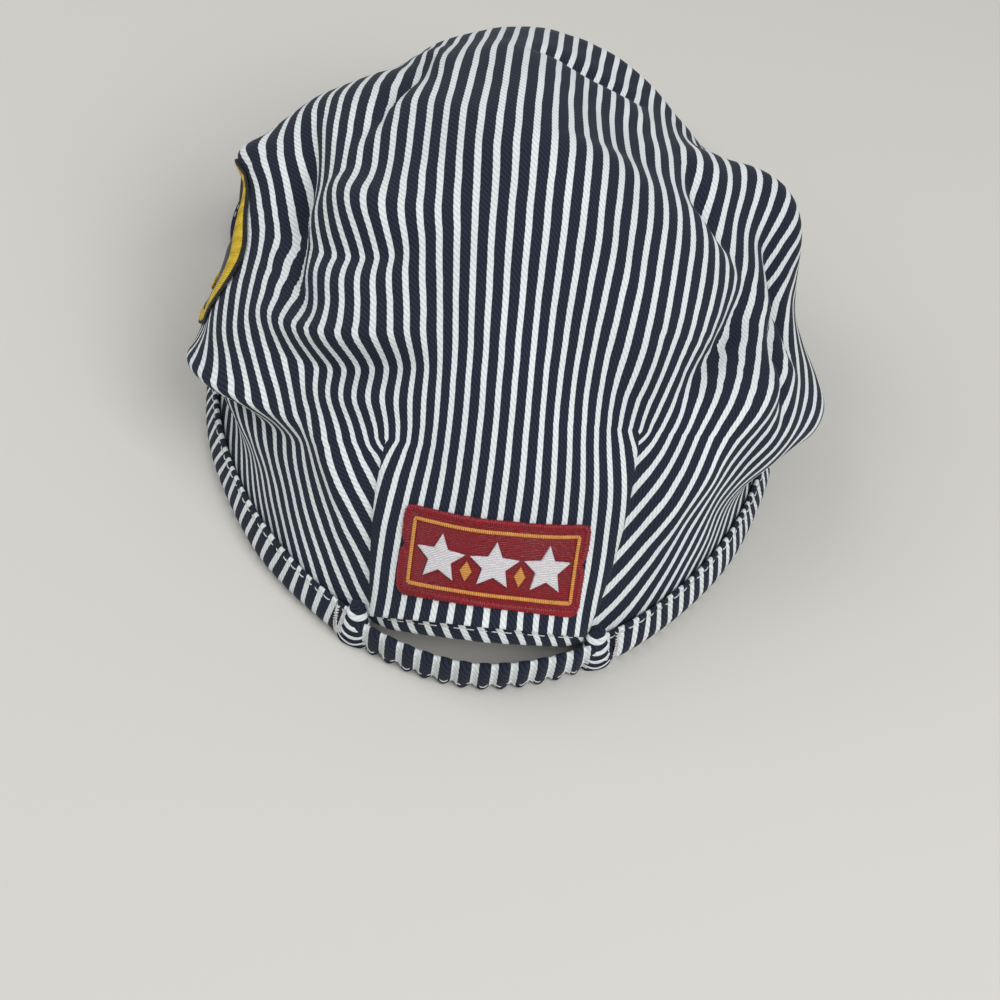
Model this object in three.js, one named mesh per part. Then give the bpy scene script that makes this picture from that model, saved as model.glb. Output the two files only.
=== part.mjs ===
// An engineer's cap in narrow-striped twill, standing by itself on its rim.
// Millimetres; +Z up, the back of the cap towards +Y, the peak towards -Y,
// the wearer's left towards +X. Angles run from the middle of the back, plus
// towards the wearer's left.
import * as THREE from 'three';

// Head size: half width and half length of the rim's outline.
const RIM_HALF_WIDTH = 77;
const RIM_HALF_LENGTH = 99;
// The rim is a little more pointed behind than in front.
const RIM_POWER = 1.9;
const RIM_POWER_SWING = 0.1;
// Middle of the forehead, where the curve of the peak lifts the rim.
const FRONT_LIFT = 6;
const FRONT_LIFT_START = 95;

// Crown.
const CROWN_TOP = 95;
const CROWN_REFERENCE = 100;
const CROWN_EDGE_Z = 9;
const CLOTH_WALL = 1.5;
const CROWN_ROWS = 20;
// The crown is modelled in parts that meet along lines from the rim to the
// top: the angles where each part starts and ends, and its columns away from
// the pleats.
const CROWN_PARTS = {
  crown_back: { start: -60, end: 60, columns: 16 },
  crown_left: { start: 60, end: 180, columns: 27 },
  crown_right: { start: 180, end: 300, columns: 27 },
};

// Arched opening over the back strap.
const ARCH_HALF_WIDTH = 31;
const ARCH_RISE = 13.5;

// Pleats either side of the back panel: angle at the rim, angle and share of
// the profile where the pleat ends, and the step of the folded edge.
const PLEATS = {
  left: { foot: 16, head: 22, end: 0.36 },
  right: { foot: -16, head: -30, end: 0.44 },
};
const PLEAT_STEP = 1.2;
const PLEAT_WIDTH = 1.6;
const PANEL_COLUMNS = 8;

// Gap left between pieces sewn to each other.
const SEAM_GAP = 0.3;

// Hem band, back strap and the facing of the arch.
const BAND_HEIGHT = 11;
const BAND_THICKNESS = 2.2;
const BAND_SEGMENTS = 60;
const STRAP_HEIGHT = 10;
const STRAP_THICKNESS = 3;
const GATHER_PITCH = 4.3;
const GATHER_DEPTH = 0.45;
const FACING_DROP = 4.6;
const FACING_TUCK = 3;
const FACING_THICKNESS = 1.4;
const FACING_HALF_WIDTH = 28;

// Peak.
const PEAK_HALF_WIDTH = 86;
const PEAK_WIDEST_Y = -58;
const PEAK_LENGTH = 102;
const PEAK_THICKNESS = 3;
const PEAK_ROOT_ANGLE = 62;
const PEAK_SWEEP = 100;
const PEAK_CORNER_Z = 1.7;
const PEAK_ARCH = 9.5;
const PEAK_BULGE = 2.5;
// The corners of the peak round off over this last share of its half sweep.
const PEAK_CORNER_SHARE = 0.16;
const PEAK_CORNER_STUB = 0.14;

// Sewn-on patch at the back and badge on the wearer's left.
const PATCH = { angle: -1.2, share: 0.175, width: 43.5, height: 21.2, tilt: 0, power: 7, lift: 0.35, thickness: 1.2 };
const BADGE = { angle: 112, share: 0.5, width: 62, height: 42, tilt: 4, power: 2, lift: 0.9, thickness: 1.2 };

// Profile of the crown at stations round the cap. Radii are shares of the
// rim's radius, heights shares of CROWN_REFERENCE.
const STATION_COLUMNS = ['angle', 'neckR', 'neckZ', 'bellyR', 'bellyZ', 'waistR', 'waistZ', 'shoulderR', 'shoulderZ', 'browR', 'browZ'];
const STATIONS = [
  [0, 0.90, 0.32, 0.77, 0.50, 0.60, 0.66, 0.41, 0.79, 0.21, 0.89],
  [24, 0.93, 0.26, 0.82, 0.44, 0.66, 0.61, 0.46, 0.76, 0.23, 0.88],
  [45, 0.97, 0.20, 0.92, 0.36, 0.80, 0.53, 0.58, 0.72, 0.31, 0.86],
  [65, 0.99, 0.22, 1.05, 0.19, 1.00, 0.37, 0.76, 0.62, 0.40, 0.83],
  [88, 1.00, 0.20, 1.09, 0.16, 1.03, 0.33, 0.85, 0.55, 0.48, 0.81],
  [118, 0.98, 0.18, 0.98, 0.28, 0.96, 0.46, 0.90, 0.63, 0.56, 0.83],
  [145, 1.00, 0.22, 0.96, 0.39, 0.89, 0.57, 0.76, 0.74, 0.45, 0.88],
  [180, 1.00, 0.27, 0.98, 0.46, 0.90, 0.63, 0.75, 0.78, 0.38, 0.92],
  [-145, 1.00, 0.22, 0.98, 0.39, 0.92, 0.56, 0.73, 0.73, 0.37, 0.87],
  [-115, 1.00, 0.18, 1.06, 0.30, 1.06, 0.48, 0.90, 0.66, 0.43, 0.82],
  [-82, 1.00, 0.14, 1.14, 0.22, 1.09, 0.38, 0.90, 0.57, 0.47, 0.81],
  [-62, 0.99, 0.16, 1.05, 0.27, 1.00, 0.44, 0.77, 0.63, 0.41, 0.83],
  [-45, 0.97, 0.20, 0.93, 0.36, 0.82, 0.53, 0.60, 0.72, 0.32, 0.86],
  [-24, 0.93, 0.26, 0.82, 0.45, 0.67, 0.61, 0.46, 0.77, 0.24, 0.88],
].map((row) => Object.fromEntries(STATION_COLUMNS.map((name, i) => [name, row[i]])));

// Folds of the loose cloth: angle and share of the profile at the start, the
// middle and the end, the rise in millimetres (minus sinks) and the half width.
const FOLD_COLUMNS = ['angle0', 'share0', 'angle1', 'share1', 'angle2', 'share2', 'rise', 'width'];
const FOLDS = [
  [114, 0.76, 86, 0.67, 60, 0.54, -6.5, 8.0],
  [114, 0.69, 97, 0.60, 78, 0.48, 3.0, 8.0],
  [62, 0.52, 44, 0.52, 27, 0.50, -3.0, 6.0],
  [60, 0.60, 42, 0.60, 26, 0.57, 2.5, 7.0],
  [72, 0.42, 58, 0.43, 44, 0.39, 3.0, 6.5],
  [72, 0.30, 56, 0.31, 42, 0.30, -4.0, 7.0],
  [34, 0.44, 28, 0.34, 23, 0.24, 2.5, 6.5],
  [-74, 0.62, -60, 0.55, -44, 0.47, -6.0, 8.0],
  [-88, 0.60, -80, 0.51, -74, 0.42, -3.0, 6.5],
  [-50, 0.40, -38, 0.30, -30, 0.18, 2.0, 7.0],
  [-118, 0.72, -108, 0.68, -96, 0.64, 4.0, 7.0],
  [-132, 0.82, -114, 0.80, -92, 0.75, -4.5, 8.0],
  [-102, 0.54, -94, 0.50, -86, 0.50, -4.0, 7.0],
  [-178, 0.72, -160, 0.72, -146, 0.69, -3.5, 6.0],
  [-170, 0.64, -156, 0.62, -148, 0.58, 3.0, 7.0],
  [142, 0.72, 138, 0.80, 130, 0.87, -3.5, 6.0],
  [154, 0.70, 151, 0.79, 142, 0.87, 2.5, 6.0],
].map((row) => Object.fromEntries(FOLD_COLUMNS.map((name, i) => [name, row[i]])));
const FOLD_SAMPLES = 20;
const FOLD_END_SHARE = 0.15;
const RIM_CALM_SHARE = 0.08;

const V = (x, y, z) => new THREE.Vector3(x, y, z);
const radians = THREE.MathUtils.degToRad;
const clamp = THREE.MathUtils.clamp;
const mix = THREE.MathUtils.lerp;

// Angle folded into -180..180.
function wrapped(angle) {
  return ((((angle + 180) % 360) + 360) % 360) - 180;
}

function rimRadius(angle) {
  const a = radians(angle);
  const power = RIM_POWER - RIM_POWER_SWING * Math.cos(a);
  const across = (Math.abs(Math.sin(a)) / RIM_HALF_WIDTH) ** power;
  const along = (Math.abs(Math.cos(a)) / RIM_HALF_LENGTH) ** power;
  return (across + along) ** (-1 / power);
}

function rimLift(angle) {
  const t = clamp((Math.abs(wrapped(angle)) - FRONT_LIFT_START) / (180 - FRONT_LIFT_START), 0, 1);
  return FRONT_LIFT * t * t * (3 - 2 * t);
}

function archRise(angle) {
  const x = rimRadius(angle) * Math.sin(radians(angle));
  if (Math.cos(radians(angle)) < 0 || Math.abs(x) > ARCH_HALF_WIDTH) return 0;
  return ARCH_RISE * Math.cos((Math.PI / 2) * (x / ARCH_HALF_WIDTH));
}

// Smooth curve through one column of the stations, all the way round.
function stationValue(name, angle) {
  const turn = ((angle % 360) + 360) % 360;
  const ring = STATIONS.map((s) => [((s.angle % 360) + 360) % 360, s[name]]).sort((p, q) => p[0] - q[0]);
  const n = ring.length;
  const at = (k) => [ring[((k % n) + n) % n][0] + 360 * Math.floor(k / n), ring[((k % n) + n) % n][1]];
  let k = 0;
  while (k < n - 1 && ring[k + 1][0] <= turn) k += 1;
  const [a0, v0] = at(k - 1);
  const [a1, v1] = at(k);
  const [a2, v2] = at(k + 1);
  const [a3, v3] = at(k + 2);
  const h = a2 - a1;
  const u = (turn - a1) / h;
  const m1 = ((v2 - v0) / (a2 - a0)) * h;
  const m2 = ((v3 - v1) / (a3 - a1)) * h;
  return hermite(v1, m1, v2, m2, u);
}

function hermite(p, mp, q, mq, u) {
  const uu = u * u;
  const uuu = uu * u;
  return (2 * uuu - 3 * uu + 1) * p + (uuu - 2 * uu + u) * mp + (3 * uu - 2 * uuu) * q + (uuu - uu) * mq;
}

const PROFILE = ['neck', 'belly', 'waist', 'shoulder', 'brow'];

// The crown without folds; share runs from the rim (0) to the top (1).
function smoothCrown(angle, share) {
  const rim = rimRadius(angle);
  const radii = [rim, ...PROFILE.map((p) => stationValue(`${p}R`, angle) * rim), 0];
  const heights = [CROWN_EDGE_Z + archRise(angle) + rimLift(angle), ...PROFILE.map((p) => stationValue(`${p}Z`, angle) * CROWN_REFERENCE), CROWN_TOP];
  const last = radii.length - 1;
  const s = clamp(share, 0, 1) * last;
  const i = Math.min(Math.floor(s), last - 1);
  const slope = (c, k, top) => (k === 0 ? c[1] - c[0] : k === last ? top : (c[k + 1] - c[k - 1]) / 2);
  const r = hermite(radii[i], slope(radii, i, -radii[last - 1]), radii[i + 1], slope(radii, i + 1, -radii[last - 1]), s - i);
  const z = hermite(heights[i], slope(heights, i, 0), heights[i + 1], slope(heights, i + 1, 0), s - i);
  return V(r * Math.sin(radians(angle)), r * Math.cos(radians(angle)), z);
}

function crownNormal(angle, share) {
  const e = 0.004;
  const around = smoothCrown(angle + 0.25, share).sub(smoothCrown(angle - 0.25, share));
  const up = smoothCrown(angle, share + e).sub(smoothCrown(angle, share - e));
  const n = up.cross(around);
  const top = clamp((share - 0.97) / 0.03, 0, 1);
  if (n.length() > 1e-9) n.normalize();
  return n.multiplyScalar(1 - top).add(V(0, 0, top)).normalize();
}

function quadratic(p0, p1, p2, t) {
  return (1 - t) * (1 - 2 * t) * p0 + 4 * t * (1 - t) * p1 + t * (2 * t - 1) * p2;
}

const FOLD_LINES = FOLDS.map((f) => {
  const line = [];
  for (let k = 0; k < FOLD_SAMPLES; k += 1) {
    const t = k / (FOLD_SAMPLES - 1);
    line.push(smoothCrown(quadratic(f.angle0, f.angle1, f.angle2, t), quadratic(f.share0, f.share1, f.share2, t)));
  }
  return line;
});

// How far the folds lift or sink the cloth at a point of the smooth crown.
function foldRise(point, share) {
  let rise = 0;
  FOLDS.forEach((fold, f) => {
    const line = FOLD_LINES[f];
    let best = Infinity;
    let along = 0;
    for (let k = 0; k + 1 < line.length; k += 1) {
      const step = line[k + 1].clone().sub(line[k]);
      const t = clamp(point.clone().sub(line[k]).dot(step) / step.lengthSq(), 0, 1);
      const d = point.distanceTo(line[k].clone().addScaledVector(step, t));
      if (d < best) {
        best = d;
        along = (k + t) / (line.length - 1);
      }
    }
    const ends = Math.sin(Math.PI * (FOLD_END_SHARE + (1 - 2 * FOLD_END_SHARE) * along));
    rise += fold.rise * ends * Math.exp(-((best / fold.width) ** 2));
  });
  return rise * clamp(share / RIM_CALM_SHARE, 0, 1);
}

// A point at a depth under (or over, minus) the outside of the crown.
function crownPoint(angle, share, depth, extra = 0) {
  const point = smoothCrown(angle, share);
  return point.clone().addScaledVector(crownNormal(angle, share), foldRise(point, share) + extra - depth);
}

// A closed body from its vertices and faces, wound to face outwards.
function body(name, points, faces, color, roughness) {
  const geometry = new THREE.BufferGeometry();
  geometry.setAttribute('position', new THREE.Float32BufferAttribute(points.flatMap((p) => [p.x, p.y, p.z]), 3));
  let volume = 0;
  faces.forEach(([a, b, c]) => { volume += points[a].dot(points[b].clone().cross(points[c])); });
  const wound = volume < 0 ? faces.map(([a, b, c]) => [a, c, b]) : faces;
  geometry.setIndex(wound.flat());
  geometry.computeVertexNormals();
  const mesh = new THREE.Mesh(geometry, new THREE.MeshStandardMaterial({ color, roughness, name }));
  mesh.name = name;
  return mesh;
}

// A bar swept along sections: each section is a ring of points, the ends closed.
function sweep(name, sections, color, roughness) {
  const n = sections[0].length;
  const points = sections.flat();
  const faces = [];
  for (let s = 0; s + 1 < sections.length; s += 1) {
    for (let k = 0; k < n; k += 1) {
      const a = s * n + k;
      const b = s * n + ((k + 1) % n);
      faces.push([a, b, b + n], [a, b + n, a + n]);
    }
  }
  const end = (sections.length - 1) * n;
  for (let k = 1; k + 1 < n; k += 1) faces.push([0, k + 1, k], [end, end + k, end + k + 1]);
  return body(name, points, faces, color, roughness);
}

// Columns of one part of the crown at one height. The back part has the panel
// between the pleats, the two narrow folded edges, and the rest either side.
function crownColumns(part, share) {
  const spread = (from, to, count) => {
    const list = [];
    for (let k = 0; k < count; k += 1) list.push({ angle: mix(from, to, k / (count - 1)), step: 0 });
    return list;
  };
  if (part !== CROWN_PARTS.crown_back) return spread(part.start, part.end, part.columns);
  const foot = (p) => mix(p.foot, p.head, clamp(share / p.end, 0, 1));
  const strength = (p) => 1 - clamp(share / p.end, 0, 1) ** 2;
  const narrow = THREE.MathUtils.radToDeg(PLEAT_WIDTH / RIM_HALF_LENGTH);
  const left = foot(PLEATS.left);
  const right = foot(PLEATS.right);
  const panel = [];
  for (let k = 0; k <= PANEL_COLUMNS; k += 1) {
    const side = k === 0 ? strength(PLEATS.right) : k === PANEL_COLUMNS ? strength(PLEATS.left) : 0;
    panel.push({ angle: mix(right, left, k / PANEL_COLUMNS), step: side * PLEAT_STEP });
  }
  return [
    ...spread(part.start, right - narrow, part.columns / 2),
    ...panel,
    ...spread(left + narrow, part.end, part.columns / 2),
  ];
}

function makeCrownPart(name) {
  const part = CROWN_PARTS[name];
  const points = [];
  const faces = [];
  const n = crownColumns(part, 0).length;
  // The two side edges and the tip draw back by half the seam gap.
  const along = (angle) => V(Math.cos(radians(angle)), -Math.sin(radians(angle)), 0);
  const draw = { 0: along(part.start).multiplyScalar(SEAM_GAP / 2), [n - 1]: along(part.end).multiplyScalar(-SEAM_GAP / 2) };
  const middle = (part.start + part.end) / 2;
  const tip = V(Math.sin(radians(middle)), Math.cos(radians(middle)), 0);
  tip.multiplyScalar(SEAM_GAP / 2 / Math.sin(radians((part.end - part.start) / 2)));
  const skin = (depth) => {
    const first = points.length;
    for (let j = 0; j < CROWN_ROWS; j += 1) {
      crownColumns(part, j / CROWN_ROWS).forEach((c, k) => {
        const point = crownPoint(c.angle, j / CROWN_ROWS, depth, c.step * clamp(j, 0, 1));
        points.push(draw[k] ? point.add(draw[k]) : point);
      });
    }
    points.push(crownPoint(0, 1, depth).add(tip));
    return first;
  };
  const outside = skin(0);
  const inside = skin(CLOTH_WALL);
  const pole = n * CROWN_ROWS;
  [[outside, false], [inside, true]].forEach(([first, flip]) => {
    const add = (a, b, c) => faces.push(flip ? [a, c, b] : [a, b, c]);
    for (let k = 0; k + 1 < n; k += 1) {
      for (let j = 0; j + 1 < CROWN_ROWS; j += 1) {
        const a = first + j * n + k;
        add(a, a + 1 + n, a + 1);
        add(a, a + n, a + 1 + n);
      }
      const row = first + (CROWN_ROWS - 1) * n + k;
      add(row, first + pole, row + 1);
    }
  });
  for (let k = 0; k + 1 < n; k += 1) {
    faces.push([outside + k, outside + k + 1, inside + k + 1], [outside + k, inside + k + 1, inside + k]);
  }
  [[0, false], [n - 1, true]].forEach(([side, flip]) => {
    for (let j = 0; j < CROWN_ROWS; j += 1) {
      const a = j * n + side;
      const b = j + 1 < CROWN_ROWS ? a + n : pole;
      const quad = [[outside + a, inside + b, outside + b], [outside + a, inside + a, inside + b]];
      quad.forEach(([p, q, r]) => faces.push(flip ? [p, r, q] : [p, q, r]));
    }
  });
  return body(name, points, faces, 0x2a3150, 0.9);
}

// The angle where the rim, pushed out by an offset, reaches a half width behind.
function backAngle(halfWidth, offset) {
  let angle = 0;
  for (let k = 0; k < 30; k += 1) angle = THREE.MathUtils.radToDeg(Math.asin(halfWidth / (rimRadius(angle) + offset)));
  return angle;
}

function rimPoint(angle, offset, z) {
  const r = rimRadius(angle) + offset;
  return V(r * Math.sin(radians(angle)), r * Math.cos(radians(angle)), z + rimLift(angle));
}

function makeBand() {
  const start = backAngle(ARCH_HALF_WIDTH + SEAM_GAP / 2, SEAM_GAP);
  const inner = SEAM_GAP;
  const outer = SEAM_GAP + BAND_THICKNESS;
  const soft = 0.6;
  const sections = [];
  for (let k = 0; k <= BAND_SEGMENTS; k += 1) {
    const angle = mix(start, 360 - start, k / BAND_SEGMENTS);
    sections.push([
      rimPoint(angle, inner, 0),
      rimPoint(angle, outer - soft, 0),
      rimPoint(angle, outer, soft),
      rimPoint(angle, outer, BAND_HEIGHT - soft),
      rimPoint(angle, outer - soft, BAND_HEIGHT),
      rimPoint(angle, inner, BAND_HEIGHT),
    ]);
  }
  return sweep('band', sections, 0x2d3454, 0.9);
}

function makeStrap() {
  const half = backAngle(ARCH_HALF_WIDTH - SEAM_GAP / 2, SEAM_GAP);
  const length = 2 * ARCH_HALF_WIDTH;
  const ribs = Math.round(length / GATHER_PITCH);
  const sections = [];
  for (let k = 0; k <= ribs * 4; k += 1) {
    const t = k / (ribs * 4);
    const angle = mix(-half, half, t);
    const swell = GATHER_DEPTH * Math.cos(2 * Math.PI * ribs * t);
    const edge = Math.max(0, -swell);
    const mid = STRAP_HEIGHT / 2;
    const inner = SEAM_GAP + edge * 0.5;
    const outer = SEAM_GAP + STRAP_THICKNESS - GATHER_DEPTH + swell;
    sections.push([
      rimPoint(angle, inner, 1),
      rimPoint(angle, mix(inner, outer, 0.5), edge),
      rimPoint(angle, outer, 1.6),
      rimPoint(angle, outer + 0.2, mid),
      rimPoint(angle, outer, STRAP_HEIGHT - 1.6),
      rimPoint(angle, mix(inner, outer, 0.5), STRAP_HEIGHT - edge),
      rimPoint(angle, inner, STRAP_HEIGHT - 1),
    ]);
  }
  return sweep('elastic_strap', sections, 0x2d3454, 0.9);
}

// The folded facing behind the edge of the arch, hanging a little below it.
function makeFacing() {
  const half = backAngle(FACING_HALF_WIDTH, 0);
  const count = 24;
  const face = CLOTH_WALL + SEAM_GAP + 0.15;
  const sections = [];
  for (let k = 0; k <= count; k += 1) {
    const angle = mix(-half, half, k / count);
    const edge = smoothCrown(angle, 0);
    const share = FACING_TUCK / (6 * smoothCrown(angle, 1 / 6).distanceTo(edge));
    const above = smoothCrown(angle, share);
    const down = edge.clone().sub(above).normalize().multiplyScalar(0.35).add(V(0, 0, -0.65)).normalize();
    const back = face + FACING_THICKNESS;
    sections.push([
      crownPoint(angle, share, face),
      crownPoint(angle, 0, face),
      crownPoint(angle, 0, face).addScaledVector(down, FACING_DROP),
      crownPoint(angle, 0, back).addScaledVector(down, FACING_DROP),
      crownPoint(angle, 0, back),
      crownPoint(angle, share, back),
    ]);
  }
  return sweep('back_facing', sections, 0x2d3454, 0.9);
}

function makePeak() {
  const columns = 36;
  const rows = [0, 0.18, 0.38, 0.58, 0.78, 0.96, 1];
  const root = SEAM_GAP * 2 + BAND_THICKNESS;
  const middle = (t, s) => {
    const angle = 180 - PEAK_ROOT_ANGLE * t;
    const inner = rimPoint(angle, root, 2.2);
    const sweepAngle = radians(PEAK_SWEEP * t);
    const outer = V(PEAK_HALF_WIDTH * Math.sin(sweepAngle), PEAK_WIDEST_Y - PEAK_LENGTH * Math.cos(sweepAngle), 0);
    const arch = Math.cos((Math.PI / 2) * t) ** 2;
    outer.z = PEAK_CORNER_Z + PEAK_ARCH * arch;
    const past = clamp((Math.abs(t) - 1 + PEAK_CORNER_SHARE) / PEAK_CORNER_SHARE, 0, 1);
    const p = inner.lerp(outer, s * Math.max(PEAK_CORNER_STUB, Math.sqrt(1 - past * past)));
    p.z += PEAK_BULGE * Math.sin(Math.PI * s) * arch;
    return p;
  };
  const points = [];
  const faces = [];
  const thickness = (s) => (s === 1 ? 0.4 : 1) * (PEAK_THICKNESS / 2);
  [1, -1].forEach((side) => {
    for (let k = 0; k <= columns; k += 1) {
      const t = Math.sin((Math.PI / 2) * mix(-1, 1, k / columns));
      rows.forEach((s) => points.push(middle(t, s).add(V(0, 0, side * thickness(s)))));
    }
  });
  const n = rows.length;
  const under = (columns + 1) * n;
  const quad = (a, b, c, d) => faces.push([a, b, c], [a, c, d]);
  for (let k = 0; k < columns; k += 1) {
    for (let j = 0; j + 1 < n; j += 1) {
      const a = k * n + j;
      quad(a, a + 1, a + n + 1, a + n);
      quad(under + a, under + a + n, under + a + n + 1, under + a + 1);
    }
    const a = k * n;
    const b = k * n + n - 1;
    quad(a, a + n, under + a + n, under + a);
    quad(b, under + b, under + b + n, b + n);
  }
  for (let j = 0; j + 1 < n; j += 1) {
    quad(j, under + j, under + j + 1, j + 1);
    const a = columns * n + j;
    quad(a, a + 1, under + a + 1, under + a);
  }
  return body('peak', points, faces, 0x2a3150, 0.85);
}

// A point on the crown reached by going sideways and up from a place on it.
function placeOn(spot, sideways, upwards) {
  const e = 0.01;
  const here = smoothCrown(spot.angle, spot.share);
  const perShare = smoothCrown(spot.angle, spot.share + e).distanceTo(smoothCrown(spot.angle, spot.share - e)) / (2 * e);
  const share = spot.share + upwards / perShare;
  const radius = Math.hypot(...smoothCrown(spot.angle, share).toArray().slice(0, 2));
  const perDegree = here.distanceTo(smoothCrown(spot.angle + 1, spot.share)) / Math.hypot(here.x, here.y);
  return { angle: spot.angle + sideways / (perDegree * radius), share };
}

// An embroidered piece lying on the crown: rings from the middle to the edge.
function makeApplique(name, spot, color) {
  const around = 40;
  const rings = [0.4, 0.75, 1];
  const points = [];
  const faces = [];
  const turn = radians(spot.tilt);
  const skin = (depth) => {
    const first = points.length;
    const centre = placeOn(spot, 0, 0);
    points.push(crownPoint(centre.angle, centre.share, depth));
    rings.forEach((ring) => {
      for (let k = 0; k < around; k += 1) {
        const a = (2 * Math.PI * k) / around;
        const grow = (Math.abs(Math.cos(a)) ** spot.power + Math.abs(Math.sin(a)) ** spot.power) ** (-1 / spot.power);
        const x = (ring * grow * Math.cos(a) * spot.width) / 2;
        const y = (ring * grow * Math.sin(a) * spot.height) / 2;
        const at = placeOn(spot, x * Math.cos(turn) - y * Math.sin(turn), x * Math.sin(turn) + y * Math.cos(turn));
        points.push(crownPoint(at.angle, at.share, depth));
      }
    });
    return first;
  };
  const top = skin(-spot.lift - spot.thickness);
  const base = skin(-spot.lift);
  [[top, false], [base, true]].forEach(([first, flip]) => {
    const add = (a, b, c) => faces.push(flip ? [a, c, b] : [a, b, c]);
    for (let k = 0; k < around; k += 1) {
      const next = (k + 1) % around;
      add(first, first + 1 + k, first + 1 + next);
      for (let r = 0; r + 1 < rings.length; r += 1) {
        const a = first + 1 + r * around;
        add(a + k, a + around + k, a + around + next);
        add(a + k, a + around + next, a + next);
      }
    }
  });
  const edge = 1 + (rings.length - 1) * around;
  for (let k = 0; k < around; k += 1) {
    const next = (k + 1) % around;
    faces.push([top + edge + k, base + edge + k, base + edge + next], [top + edge + k, base + edge + next, top + edge + next]);
  }
  return body(name, points, faces, color, 0.8);
}

const cap = new THREE.Group();
cap.name = 'engineer_cap';
cap.add(
  ...Object.keys(CROWN_PARTS).map(makeCrownPart),
  makeBand(),
  makeStrap(),
  makeFacing(),
  makePeak(),
  makeApplique('back_patch', PATCH, 0xa5182c),
  makeApplique('side_badge', BADGE, 0xe8cf3a),
);

// The origin is under the middle of the whole cap.
const bounds = new THREE.Box3().setFromObject(cap);
const middle = bounds.getCenter(V(0, 0, 0));
cap.children.forEach((mesh) => mesh.geometry.translate(-middle.x, -middle.y, -bounds.min.z));

export default cap;
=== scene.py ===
import math
import bpy
import numpy as np
from mathutils import Matrix, Vector, noise


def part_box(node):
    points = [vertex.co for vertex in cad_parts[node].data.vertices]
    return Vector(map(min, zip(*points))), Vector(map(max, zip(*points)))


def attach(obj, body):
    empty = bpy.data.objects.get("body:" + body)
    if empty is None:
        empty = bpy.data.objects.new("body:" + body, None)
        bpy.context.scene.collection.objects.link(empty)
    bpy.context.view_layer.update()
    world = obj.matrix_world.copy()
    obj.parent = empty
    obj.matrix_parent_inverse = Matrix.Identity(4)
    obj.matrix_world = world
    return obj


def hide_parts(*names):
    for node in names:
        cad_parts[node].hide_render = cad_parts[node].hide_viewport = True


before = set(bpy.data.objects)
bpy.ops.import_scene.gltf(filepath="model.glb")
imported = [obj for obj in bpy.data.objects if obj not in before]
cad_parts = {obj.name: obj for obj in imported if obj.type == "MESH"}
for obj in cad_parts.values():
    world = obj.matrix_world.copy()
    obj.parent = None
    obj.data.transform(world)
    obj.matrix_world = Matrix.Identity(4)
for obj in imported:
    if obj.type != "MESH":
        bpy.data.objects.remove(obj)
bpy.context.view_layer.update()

# Crown
# One large piece of navy and white striped cotton twill, pleated in at the rim
# either side of a straight back panel, so that it stands in a loose puff over
# the band. The sizes are the cap's own, in millimetres from the rim's middle.
RIM_HALF_WIDTH = 77.0
RIM_HALF_LENGTH = 99.0
RIM_POWER = 1.9
RIM_POWER_SWING = 0.1
FRONT_LIFT = 6.0
FRONT_LIFT_START = 95.0
CROWN_TOP = 95.0
CROWN_REFERENCE = 100.0
CROWN_EDGE_Z = 9.0
ARCH_HALF_WIDTH = 31.0
ARCH_RISE = 13.5
SEAM_GAP = 0.3
BAND_THICKNESS = 2.2
CLOTH = 1.1

band_low, band_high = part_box("band")
RIM_MIDDLE = np.array([
    500.0 * (band_low[0] + band_high[0]),
    1000.0 * band_low[1] + RIM_HALF_LENGTH + SEAM_GAP + BAND_THICKNESS,
    0.0,
])

# Profile of the crown at angles round the cap: radii as shares of the rim's
# radius, heights as shares of CROWN_REFERENCE. Columns: angle, then radius and
# height of the neck, the belly, the waist, the shoulder and the brow.
STATIONS = np.array([
    (0, 0.90, 0.32, 0.77, 0.50, 0.60, 0.66, 0.41, 0.79, 0.21, 0.89),
    (24, 0.93, 0.26, 0.82, 0.44, 0.66, 0.61, 0.46, 0.76, 0.23, 0.88),
    (45, 0.96, 0.20, 0.93, 0.34, 0.84, 0.50, 0.62, 0.70, 0.33, 0.85),
    (65, 0.96, 0.16, 1.04, 0.28, 0.99, 0.43, 0.78, 0.62, 0.42, 0.83),
    (86, 0.96, 0.14, 1.05, 0.25, 0.98, 0.39, 0.86, 0.56, 0.48, 0.81),
    (104, 0.96, 0.16, 0.96, 0.27, 0.92, 0.43, 0.88, 0.62, 0.53, 0.82),
    (120, 0.98, 0.18, 0.97, 0.30, 0.95, 0.48, 0.90, 0.65, 0.56, 0.83),
    (145, 1.00, 0.22, 0.96, 0.39, 0.88, 0.56, 0.74, 0.71, 0.45, 0.86),
    (180, 1.00, 0.27, 0.98, 0.46, 0.90, 0.62, 0.75, 0.77, 0.38, 0.91),
    (-152, 1.00, 0.24, 0.98, 0.41, 0.90, 0.57, 0.72, 0.72, 0.36, 0.86),
    (-132, 1.00, 0.20, 1.00, 0.35, 0.93, 0.51, 0.74, 0.66, 0.38, 0.83),
    (-112, 1.00, 0.18, 1.07, 0.32, 1.07, 0.49, 0.90, 0.65, 0.43, 0.81),
    (-96, 1.00, 0.15, 1.08, 0.26, 1.03, 0.41, 0.88, 0.58, 0.45, 0.81),
    (-80, 0.99, 0.13, 1.17, 0.24, 1.06, 0.38, 0.88, 0.57, 0.47, 0.81),
    (-62, 0.98, 0.15, 1.05, 0.28, 1.00, 0.44, 0.77, 0.63, 0.41, 0.83),
    (-45, 0.97, 0.20, 0.93, 0.36, 0.82, 0.53, 0.60, 0.72, 0.32, 0.86),
    (-24, 0.93, 0.26, 0.82, 0.45, 0.67, 0.61, 0.46, 0.77, 0.24, 0.88),
])

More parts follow.
